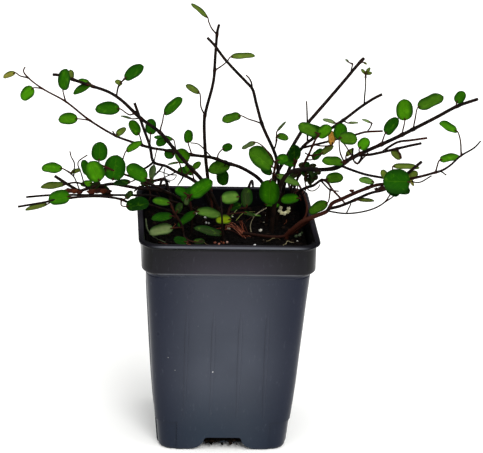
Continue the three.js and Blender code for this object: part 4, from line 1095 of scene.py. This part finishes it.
plant = {
    "rootDepth": 11.5,
    "rootRise": 2.2,
    "soilLevel": 122.0,
    "stemGap": 1.6,             # distance between the rows of a stem and of a stalk
    "stalkGap": 0.8,
    "stemSize": 1.08,           # a stem's share of the radius in its plan
    "slimStemSize": 0.75,
    "slim": ("vine_low_left_b", "vine_low_left_c"),
    "reddish": ("vine_low_right",),
    "thin": 0.6,                # radius below which a stem is thin
    "thinYouth": (0.2, 0.5),    # youth of the bark at a stem's start and end: 0 is old, 1 is green
    "stoutYouth": (0.05, 0.3),
    "taperYouth": (0.05, 0.6),
    "reddishYouth": (0.6, 0.25),
    "stalkYouth": (0.4, 0.6),
    "nodeSwell": 0.28,          # how much thicker a stem is where a leaf grows
    "nodeLong": 1.3,
    "stalkFoot": 0.75,          # radii of a leaf stalk
    "stalkMiddle": 0.5,
    "stalkTip": 0.36,
    "stalkFootLong": 0.9,
    "bladeRound": 0.8,          # width of a flat blade over its length
    "bladeThick": 0.32,
    "bladeCup": 0.09,
    "bladeDroop": 0.07,
    "bladeSink": 1.5,
    "bladeWave": (0.01, 0.035),
    "bladeTwist": 0.12,
    "bladeFold": (0.02, 0.07),
    "modelThick": 0.02,
    "across": 8,                # cells of the blade's grid
    "along": 12,
}

# The deep tone is partly the leaf's own dark green and partly painted shade, for leaves that lie in shadow
leafTones = {
    "dead": "#211910", "deep": "#082c02", "dark": "#1b5203", "dusk": "#263618", "mid": "#286303",
    "warm": "#38650c", "bright": "#3c7a06", "lime": "#46900a", "soft": "#557e30", "olive": "#5a6a26",
    "straw": "#7f7c34", "yellow": "#6f840d", "pale": "#6e8050", "ochre": "#c98a38", "grey": "#4a5c34",
}


# A centripetal curve through the points, sampled about every gap
def smoothRoute(points, gap):
    points = [points[0] * 2 - points[1], *points, points[-1] * 2 - points[-2]]
    rows = [points[1]]
    for p0, p1, p2, p3 in zip(points, points[1:], points[2:], points[3:]):
        d1, d2, d3 = (max((b - a).length, 1e-6) ** 0.5 for a, b in ((p0, p1), (p1, p2), (p2, p3)))
        out = ((p1 - p0) / d1 - (p2 - p0) / (d1 + d2) + (p2 - p1) / d2) * d2
        into = ((p2 - p1) / d2 - (p3 - p1) / (d2 + d3) + (p3 - p2) / d3) * d2
        pieces = max(1, round((p2 - p1).length / gap))
        for piece in range(1, pieces + 1):
            t = piece / pieces
            rows.append(p1 * (2 * t**3 - 3 * t**2 + 1) + out * (t**3 - 2 * t**2 + t)
                        + p2 * (3 * t**2 - 2 * t**3) + into * (t**3 - t**2))
    return rows


def nearest(points, spot, read):
    return min(points, key=lambda point: math.dist(read(point), spot)).copy()


def taper(start, end, rows):
    return [start + (end - start) * row / (rows - 1) for row in range(rows)]


# The blade is modelled once: a thin oval sheet over x -1..1 and y 0..1, with two faces
def makeBladeModel():
    clearSelection()
    bpy.ops.mesh.primitive_grid_add(
        x_subdivisions=plant["across"], y_subdivisions=plant["along"], size=2, location=(0, 0, 0))
    model = bpy.context.object
    for vertex in model.data.vertices:
        share = (vertex.co.y + 1) / 2
        along = 0.5 - 0.5 * math.cos(math.pi * share)
        swell = (1 - abs(2 * along - 1) ** 2.5) ** 0.5 * (1.04 - 0.08 * along)
        tip = 0.02 * max(0, (along - 0.92) / 0.08) * (1 - abs(vertex.co.x))
        vertex.co = (vertex.co.x * max(swell, 0.035), along + tip, 0)
    applyModifier(model, "SOLIDIFY", thickness=plant["modelThick"], offset=0)
    return model


# Bends the model to one leaf's place, width and tilt
def makeBlade(model, base, tip, seenWide, tone, draw):
    axis = (tip - base).normalized()
    long = (tip - base).length
    toEye = eye - base
    face = (toEye - axis * toEye.dot(axis)).normalized()
    wide = max(seenWide, min(plant["bladeRound"] * long, 2 * seenWide))
    tilt = math.acos(min(1, seenWide / wide))
    normal = max((Matrix.Rotation(turn, 3, axis) @ face for turn in (tilt, -tilt)), key=lambda n: n.z)
    side = axis.cross(normal)
    wave, phase = draw.uniform(*plant["bladeWave"]), draw.uniform(0, 6.28)
    twist, fold = draw.uniform(-plant["bladeTwist"], plant["bladeTwist"]), draw.uniform(*plant["bladeFold"])
    mesh = model.data.copy()
    under = mesh.attributes.new("under", "FLOAT", "POINT")
    flags = []
    for vertex in mesh.vertices:
        x, along, skin = vertex.co
        rim = min(1, x * x + (2 * along - 1) ** 2)
        lift = plant["bladeCup"] * wide * (rim - 1) - plant["bladeDroop"] * long * along**2
        lift += wide * (fold * (abs(x) - 0.5) + wave * abs(x) * math.sin(9 * along + phase + x))
        lift += twist * wide * x * along * 0.5
        lift += plant["bladeThick"] * skin / plant["modelThick"] * (0.35 + 0.65 * (1 - rim))
        flags.append(1.0 if skin < 0 else 0.0)
        vertex.co = (base + axis * along * long + side * (x * wide / 2) + normal * lift) * mm
    under.data.foreach_set("value", flags)
    colour = linearColour(leafTones[tone])
    shade = draw.uniform(0.88, 1.12)
    warm = draw.uniform(0.94, 1.08)
    paintTint(mesh, [colour[0] * shade * warm, colour[1] * shade, colour[2] * shade, 1])
    return addToScene("blade", mesh)


# Each vertex takes the youth of the row nearest to it
def paintYouth(piece, rods, youths):
    rows = KDTree(sum(len(points) for points, _ in rods))
    values = []
    for (points, _), (start, end) in zip(rods, youths):
        for point, value in zip(points, taper(start, end, len(points))):
            rows.insert(point * mm, len(values))
            values.append(value)
    rows.balance()
    layerData = piece.data.attributes.new("youth", "FLOAT", "POINT").data
    for vertex, entry in zip(piece.data.vertices, layerData):
        entry.value = values[rows.find(vertex.co)[1]]


# Lays out a sprig's stems: their rows, the youth of their bark and the places that leaves grow from
def layStems(name, stems, place, read):
    stemRows, youths, carried = [], [], []
    for number, (startRadius, endRadius, *route) in enumerate(stems):
        if number == 0:
            points = [place(*spot) for spot in route]
            foot = points[0]
            foot.z = plant["soilLevel"] + plant["rootRise"]
            below = [Vector((foot.x, foot.y, plant["soilLevel"] - plant["rootDepth"]))]
        else:
            points, below = [nearest(carried, route[0][:2], read)], []
            for across, upward, *back in route[1:]:
                points.append(place(across, upward, back[0] if back else points[-1].y))
        rows = smoothRoute(points, plant["stemGap"])
        carried += rows
        stemRows.append(below + rows)
        if startRadius < plant["thin"]:
            youths.append(plant["thinYouth"])
        elif number == 0 and name in plant["reddish"]:
            youths.append(plant["reddishYouth"])
        else:
            youths.append(plant["stoutYouth"] if endRadius > plant["thin"] else plant["taperYouth"])
    return stemRows, youths, carried


# A stem thickens at each of the places in starts, where a leaf grows
def stemRadii(rows, startRadius, endRadius, starts):
    radii = []
    for point, radius in zip(rows, taper(startRadius, endRadius, len(rows))):
        gap = min(((point - start).length for start in starts), default=99)
        radii.append(radius * (1 + plant["nodeSwell"] * math.exp(-(gap / plant["nodeLong"]) ** 2)))
    return radii


def stalkRadii(rows):
    radii = []
    for row, radius in enumerate(taper(plant["stalkMiddle"], plant["stalkTip"], len(rows))):
        foot = math.exp(-(row * plant["stalkGap"] / plant["stalkFootLong"]) ** 2)
        radii.append(radius + (plant["stalkFoot"] - plant["stalkMiddle"]) * foot)
    return radii


def makeSprig(name, stems, leaves, bladeModel, draw):
    place, read = (truePlace, readTrue) if name.startswith("trailer") else (seenPlace, readSeen)
    stemRows, youths, carried = layStems(name, stems, place, read)
    blades, stalks, starts = [], [], []
    for base, tip, wide, tone, *more in leaves:
        back, *way = more or [0]
        start = nearest(carried, way[0] if way else base, read)
        *between, base, tip = (place(*spot, start.y + back) for spot in (*way[1:], base, tip))
        end = base + (tip - base).normalized() * plant["bladeSink"]
        starts.append(start)
        stalks.append(smoothRoute([start, *between, base, end], plant["stalkGap"]))
        blades.append(makeBlade(bladeModel, base, tip, wide, tone, draw))
    size = plant["slimStemSize"] if name in plant["slim"] else plant["stemSize"]
    rods = [(rows, stemRadii(rows, size * startRadius, size * endRadius, starts))
            for rows, (startRadius, endRadius, *_) in zip(stemRows, stems)]
    rods += [(rows, stalkRadii(rows)) for rows in stalks]
    youths += [plant["stalkYouth"]] * len(stalks)
    wood = makeRods("wood", rods)
    paintYouth(wood, rods, youths)
    for face in wood.data.polygons:
        face.material_index = int(len(face.vertices) > 4)       # the caps are cut wood
    finishPiece([wood], name + "_stems", 50, ["bark", "cutWood"], "woody_stem", name)
    finishPiece(blades, name + "_leaves", 75, ["leaf"], "leaf", name)


print("plant")
bladeModel = makeBladeModel()
for number, (name, (stems, leaves)) in enumerate(sprigs.items()):
    makeSprig(name, stems, leaves, bladeModel, random.Random(100 + number))

# Fine growth and litter that belong to the look only. A twig has its bark's youth at its start and
# end, its radii there and its route as seen from the front.
twigs = [
    (0.3, 0.5, 0.42, 0.3, (-42.9, 162.6, 28), (-42.7, 165.8, 28), (-42, 169.8, 28), (-41.2, 173.8, 28)),
    (0.2, 0.5, 0.4, 0.3, (-29.6, 157.8, 36), (-33.9, 158, 34), (-38, 159.5, 33), (-40.9, 159.8, 31)),
    (0.3, 0.5, 0.38, 0.28, (-36.3, 161.7, 36), (-36.9, 158.9, 38), (-36.2, 155.9, 39), (-34.4, 154.7, 40),
     (-31.5, 154.7, 40), (-29.6, 157.2, 38)),
    (0.1, 0.2, 0.6, 0.4, (-38.1, 162.6, 33), (-39.8, 160.1, 36), (-42.6, 157, 38), (-45.4, 154.5, 40),
     (-49, 153.6, 42)),
    (0.1, 0.2, 0.5, 0.4, (-25.8, 156.6, 38), (-27.4, 153.5, 41), (-28.6, 151.7, 44)),
    (0.0, 0.2, 0.75, 0.5, (-52.6, 143.4, 44), (-50, 149.5, 47), (-47.1, 152, 49), (-43.7, 153.3, 50),
     (-40.2, 154.3, 50), (-37.3, 154.6, 49), (-33.2, 153.4, 46)),
    (0.3, 0.3, 0.6, 0.4, (-51.2, 150.7, 50), (-48.8, 148.6, 48), (-45.3, 146.8, 46), (-41.8, 148.4, 46),
     (-39, 150.9, 46), (-35.5, 151.3, 46)),
    (0.0, 0.3, 0.55, 0.4, (-50.1, 154.4, 47), (-47.7, 152.6, 48), (-44.8, 151.6, 50), (-40.1, 151.2, 51),
     (-35.5, 152.2, 50)),
    (0.4, 0.3, 0.5, 0.4, (-54, 147.4, 40), (-49, 151, 43), (-44, 149.6, 44), (-40, 146, 42), (-37, 140, 40)),
    (0.3, 0.5, 0.45, 0.3, (-47, 139, 30), (-44.4, 144, 32), (-45.6, 149.4, 34), (-49, 153, 34)),
    (0.3, 0.6, 0.42, 0.3, (44.5, 172.4, 14), (47.3, 171, 12), (50.1, 170.3, 12), (52, 171.7, 14)),
    (0.5, 0.4, 0.45, 0.32, (47, 163.2, 16), (45.7, 158.9, 14), (45.4, 154.6, 15), (46.1, 150.3, 18),
     (43, 145, 24)),
    (0.4, 0.6, 0.42, 0.3, (46, 152.4, 22), (47.6, 149.7, 20), (50.3, 149.1, 18), (53.1, 151, 17),
     (54.2, 153.2, 18)),
    (0.1, 0.2, 0.85, 0.7, (36.3, 158.6, 20), (41.5, 160.4, 18), (47, 161.2, 16), (53.7, 162.6, 12),
     (59.9, 163.4, 6), (67.9, 166.3, 0)),
    (0.6, 0.6, 0.7, 0.7, (40, 155.7, 60), (42.6, 151.5, 47.5), (44.5, 147.8, 37.5), (46.2, 143.5, 24.5),
     (47.3, 138.5, 11), (46.9, 134.1, 6), (44.7, 129.7, 3), (42, 124.7, 1)),
    (0.6, 0.6, 0.5, 0.4, (36.8, 150.8, 44), (39.2, 148.3, 38), (42.7, 149.6, 42), (44.4, 150.2, 40)),
    (0.7, 0.6, 0.45, 0.4, (37.8, 152.6, 46), (39.7, 150.8, 43), (42.2, 147.1, 34), (43.5, 143, 28)),
    (0.5, 0.6, 0.4, 0.35, (41.3, 153.3, 46), (41, 150, 42), (40, 147, 36), (38.5, 143.5, 34)),
    (0.1, 0.1, 0.5, 0.5, (72.3, 176, -3), (72.5, 170.3, -4), (74, 166.8, -5), (75.5, 166.1, -6),
     (78.4, 169.6, -7), (81.3, 172.9, -8)),
    (0.1, 0.2, 0.7, 0.5, (-1.5, 118.6, -18), (-2.3, 131.6, -20), (-2.9, 139.1, -17), (-3.3, 145.2, -13)),
    (0.55, 0.5, 1.1, 1.1, (-8.7, 136.6, 40), (-9.2, 143.9, 40), (-9.6, 150.5, 40)),
    (0.35, 0.6, 0.9, 0.8, (10.3, 122.4, -3), (17.4, 121.4, -6), (25.1, 120.4, -9), (32.8, 120.4, -9),
     (39.2, 122.6, -4), (45, 127.5, -8), (50.5, 132.3, -12)),
]

# A lump is its place, size and colour; those on the stems are laid out as seen, the rest as placed,
# and each place is across, up and back
knots = [
    ((-91.4, 147.4, 7), 3.4, "#3f1a0e"), ((-88.4, 147.1, 7), 3.2, "#54240f"),
    ((-85.4, 146.4, 7), 2.6, "#3a180d"), ((-78.4, 147, 9), 3.6, "#4a1f0f"),
    ((-75.2, 147.6, 10), 3.8, "#2f150c"), ((-71.8, 147.4, 10), 3.4, "#4f2210"),
    ((-68.6, 147.2, 11), 2.6, "#2a130b"), ((-76.6, 149.6, 12), 2.6, "#25130c"),
    ((-73, 150.4, 14), 3.0, "#24120b"), ((50.5, 132.3, -12), 2.4, "#54261a"),
    ((38.2, 124.6, 2), 2.0, "#4a2418"), ((40.6, 125, 1), 2.2, "#5e3022"), ((41.8, 123.2, 0), 1.7, "#3a1a12"),
    ((53.2, 133.8, -13), 2.2, "#43190f"), ((73.1, 149.6, -24), 2.0, "#3a1a10"),
    ((91.4, 151.6, -32), 3.2, "#2f170f"), ((88.2, 150.6, -31), 2.6, "#24120c"),
    ((45.4, 161.8, 16), 2.2, "#17100a"), ((47.8, 160.4, 15), 2.4, "#1f150d"),
    ((49.8, 162.4, 13), 2.0, "#130d08"), ((46.6, 158.4, 15), 1.8, "#1c120b"),
]
flowers = [
    ((31.8, 138.4, 14), 2.5, "#d9d5a6"), ((31.4, 136.6, 14), 2.7, "#e6e2ba"),
    ((32.4, 135.3, 13), 2.6, "#dcd8a8"), ((34.3, 135.1, 13), 2.9, "#e3dfb4"),
    ((36.1, 136.1, 14), 2.7, "#d6d29e"), ((36.6, 137.9, 15), 2.5, "#e6e2ba"),
    ((34.6, 132.6, 22), 1.2, "#c9c8b4"),
]
litter = [
    ((-11, 123.8, 22.3), 1.5, "#e8e8e4"), ((-10.8, 123.6, 13.4), 1.4, "#e8e8e4"),
    ((-9.2, 123.6, 12.6), 1.3, "#dadad2"), ((15.7, 123.4, -22.4), 1.4, "#f2f2f0"),
    ((-7.1, 123.2, -18.6), 1.8, "#7d4a3c"), ((-4.8, 123.2, -20.6), 1.6, "#9a6a5c"),
    ((-2.2, 123.4, -19.4), 1.7, "#6d3a28"), ((-0.1, 123.3, -18.0), 1.5, "#b08c80"),
    ((-3.4, 123.3, -17.2), 1.4, "#5d3020"), ((40.9, 123.6, -7.2), 2.0, "#4c5a40"),
    ((43.2, 123.6, -5.2), 2.2, "#66745a"), ((44.6, 123.8, -2.6), 1.8, "#3f4d33"),
    ((-7.4, 52.6, -43.1), 0.9, "#f2f2f0"),
]

# Each strand on the soil is its radius, colour and route
strands = [
    (0.45, "#b0a68a", (17.6, 21.3, 124.6), (21.5, 24.8, 126.6), (26.3, 28.6, 128)),
    (0.3, "#857d62", (15, -1, 123.6), (15, 7, 124), (16.4, 15, 124.6), (18.5, 21.8, 125)),
    (0.3, "#6f7f45", (4.5, 22, 124.4), (9.2, 28.6, 128), (11.9, 35.4, 128.5)),
    (0.24, "#8a9448", (7.2, 17, 124), (12.4, 24, 126.5), (19.1, 26.9, 126)),
    (0.55, "#5f6a4c", (-46.6, 9, 127), (-46, 1, 124.6), (-44, -8, 123.8), (-40.5, -15, 123.8),
     (-36, -20, 123.6)),
]
rootFan = {
    "from": (12.5, -2.5),
    "loose": 2.6,               # how far apart the roots start
    "count": 26,
    "headings": (102, 156),     # degrees
    "reach": (7, 24),
    "bend": 0.4,
    "radii": (0.16, 0.28),
    "tones": ["#7c3d28", "#4d2418", "#a86a52", "#3a1a14"],
}

looseLeaves = [                 # base, tip, depth, width and tone, as seen from the front
    ((-80.6, 157.4), (-83.6, 166), 20, 5.5, "dark"), ((41, 164.6), (46.5, 165.6), 15, 3.4, "dead"),
    ((44, 161.8), (50.6, 163.4), 17, 5.0, "dead"), ((43.4, 163.6), (45.6, 158.2), 16, 3.6, "deep"),
    ((48.6, 164.8), (49.4, 159.2), 16, 3.2, "dead"), ((45.5, 166.8), (47.5, 161), 14, 3.4, "deep"),
    ((47, 164), (51.5, 165.4), 13, 2.4, "dead"), ((44.6, 159.6), (48.5, 162.5), 15, 3.0, "dead"),
    ((48, 161.5), (50.6, 157.8), 13, 2.8, "dusk"), ((43, 161), (41.2, 157.6), 16, 2.0, "dead"),
    ((46.2, 158.6), (45.2, 154.6), 15, 2.4, "dead"), ((47, 158.5), (53, 157.5), 15, 4.6, "dead"),
    ((49.5, 160.5), (50.5, 154), 14, 3.0, "dead"), ((46.5, 157), (49.5, 153), 15, 2.8, "dead"),
    ((50, 163), (54.5, 160), 14, 3.6, "dead"), ((42, 160), (36.5, 157.8), 17, 3.4, "dead"),
    ((-50.5, 152.4), (-42.5, 153.8), 44, 4.0, "dead"), ((-19.4, 158.6), (-24.6, 163.8), 29, 5.6, "warm"),
    ((-79.5, 148.6), (-73.8, 152.8), 12, 4.0, "dead"), ((-26.5, 142.8), (-16.5, 150), 4, 7.0, "dark"),
    ((10.5, 134.5), (20.5, 133.8), 22, 1.5, "soft"), ((47.8, 189), (51.7, 181.4), 12, 7.0, "mid"),
    ((42.5, 187.2), (54, 186.8), 11, 6.0, "dark"), ((-95.6, 208), (-94.3, 220.3), -18, 7.0, "mid"),
    ((93, 153.5), (101.5, 148), -46, 7.0, "deep"), ((97, 152), (107.5, 150.5), -45, 6.5, "deep"),
    ((104, 161), (110, 153.5), -43, 2.4, "straw"),
]


def makeTwigs():
    rods, youths = [], []
    for startYouth, endYouth, startRadius, endRadius, *route in twigs:
        rows = smoothRoute([seenPlace(*spot) for spot in route], plant["stemGap"])
        rods.append((rows, taper(startRadius, endRadius, len(rows))))
        youths.append((startYouth, endYouth))
    wood = makeRods("wood", rods)
    paintYouth(wood, rods, youths)
    finishPiece([wood], "wiryTwigs", 50, ["bark"], "woody_stem")


# Lumps that lie along X, each turned by up to the angle loose
def makeLumps(name, lumps, place, long, loose, surface, slot):
    draw = random.Random(55)
    model = roughLump(draw, 0.7)
    copies = []
    for spot, size, tone in lumps:
        turn = Matrix.Rotation(draw.uniform(-1, 1) * loose, 4, Vector((draw.random(), draw.random(), 1)))
        shape = (size * long, size * 0.85, size * 0.75)
        copies.append(copyLump(model, place(*spot), turn, shape, linearColour(tone)))
    bpy.data.objects.remove(model)
    finishPiece(copies, name, 70, [surface], slot)


def makeStrands():
    draw = random.Random(56)
    routes = [(radius, tone, [Vector(spot) for spot in route]) for radius, tone, *route in strands]
    for _ in range(rootFan["count"]):
        x, y = (at + draw.uniform(-1, 1) * rootFan["loose"] for at in rootFan["from"])
        heading = math.radians(draw.uniform(*rootFan["headings"]))
        reach = draw.uniform(*rootFan["reach"])
        bend = draw.uniform(-rootFan["bend"], rootFan["bend"])
        route = []
        for share in (0, 1 / 3, 2 / 3, 1):
            turned = heading + bend * share
            spot = (x + reach * share * math.cos(turned), y + reach * share * math.sin(turned))
            route.append(Vector((*spot, soilHeight(*spot) + 0.6 + 2.4 * math.sin(2.6 * share))))
        routes.append((draw.uniform(*rootFan["radii"]), draw.choice(rootFan["tones"]), route))
    rods = []
    for radius, tone, route in routes:
        rows = smoothRoute(route, 1.4)
        rods.append(tintedRod(rows, taper(radius, radius / 2, len(rows)), tone))
    finishPiece(rods, "soilStrands", 60, ["fibre"], "potting_soil")


def makeLooseLeaves(model):
    draw = random.Random(57)
    blades = [makeBlade(model, seenPlace(*base, depth), seenPlace(*tip, depth), wide, tone, draw)
              for base, tip, depth, wide, tone in looseLeaves]
    finishPiece(blades, "looseLeaves", 75, ["leaf"], "leaf")


print("undergrowth")
makeTwigs()
makeLumps("stemKnots", knots, seenPlace, 1.7, 0.5, "fibre", "woody_stem")
makeLumps("flowerBuds", flowers, seenPlace, 1.1, 3, "perlite", "leaf")
makeLumps("litterLumps", litter, truePlace, 1.1, 3, "perlite", "potting_soil")
makeStrands()
makeLooseLeaves(bladeModel)
bpy.data.objects.remove(bladeModel)

print("finish")
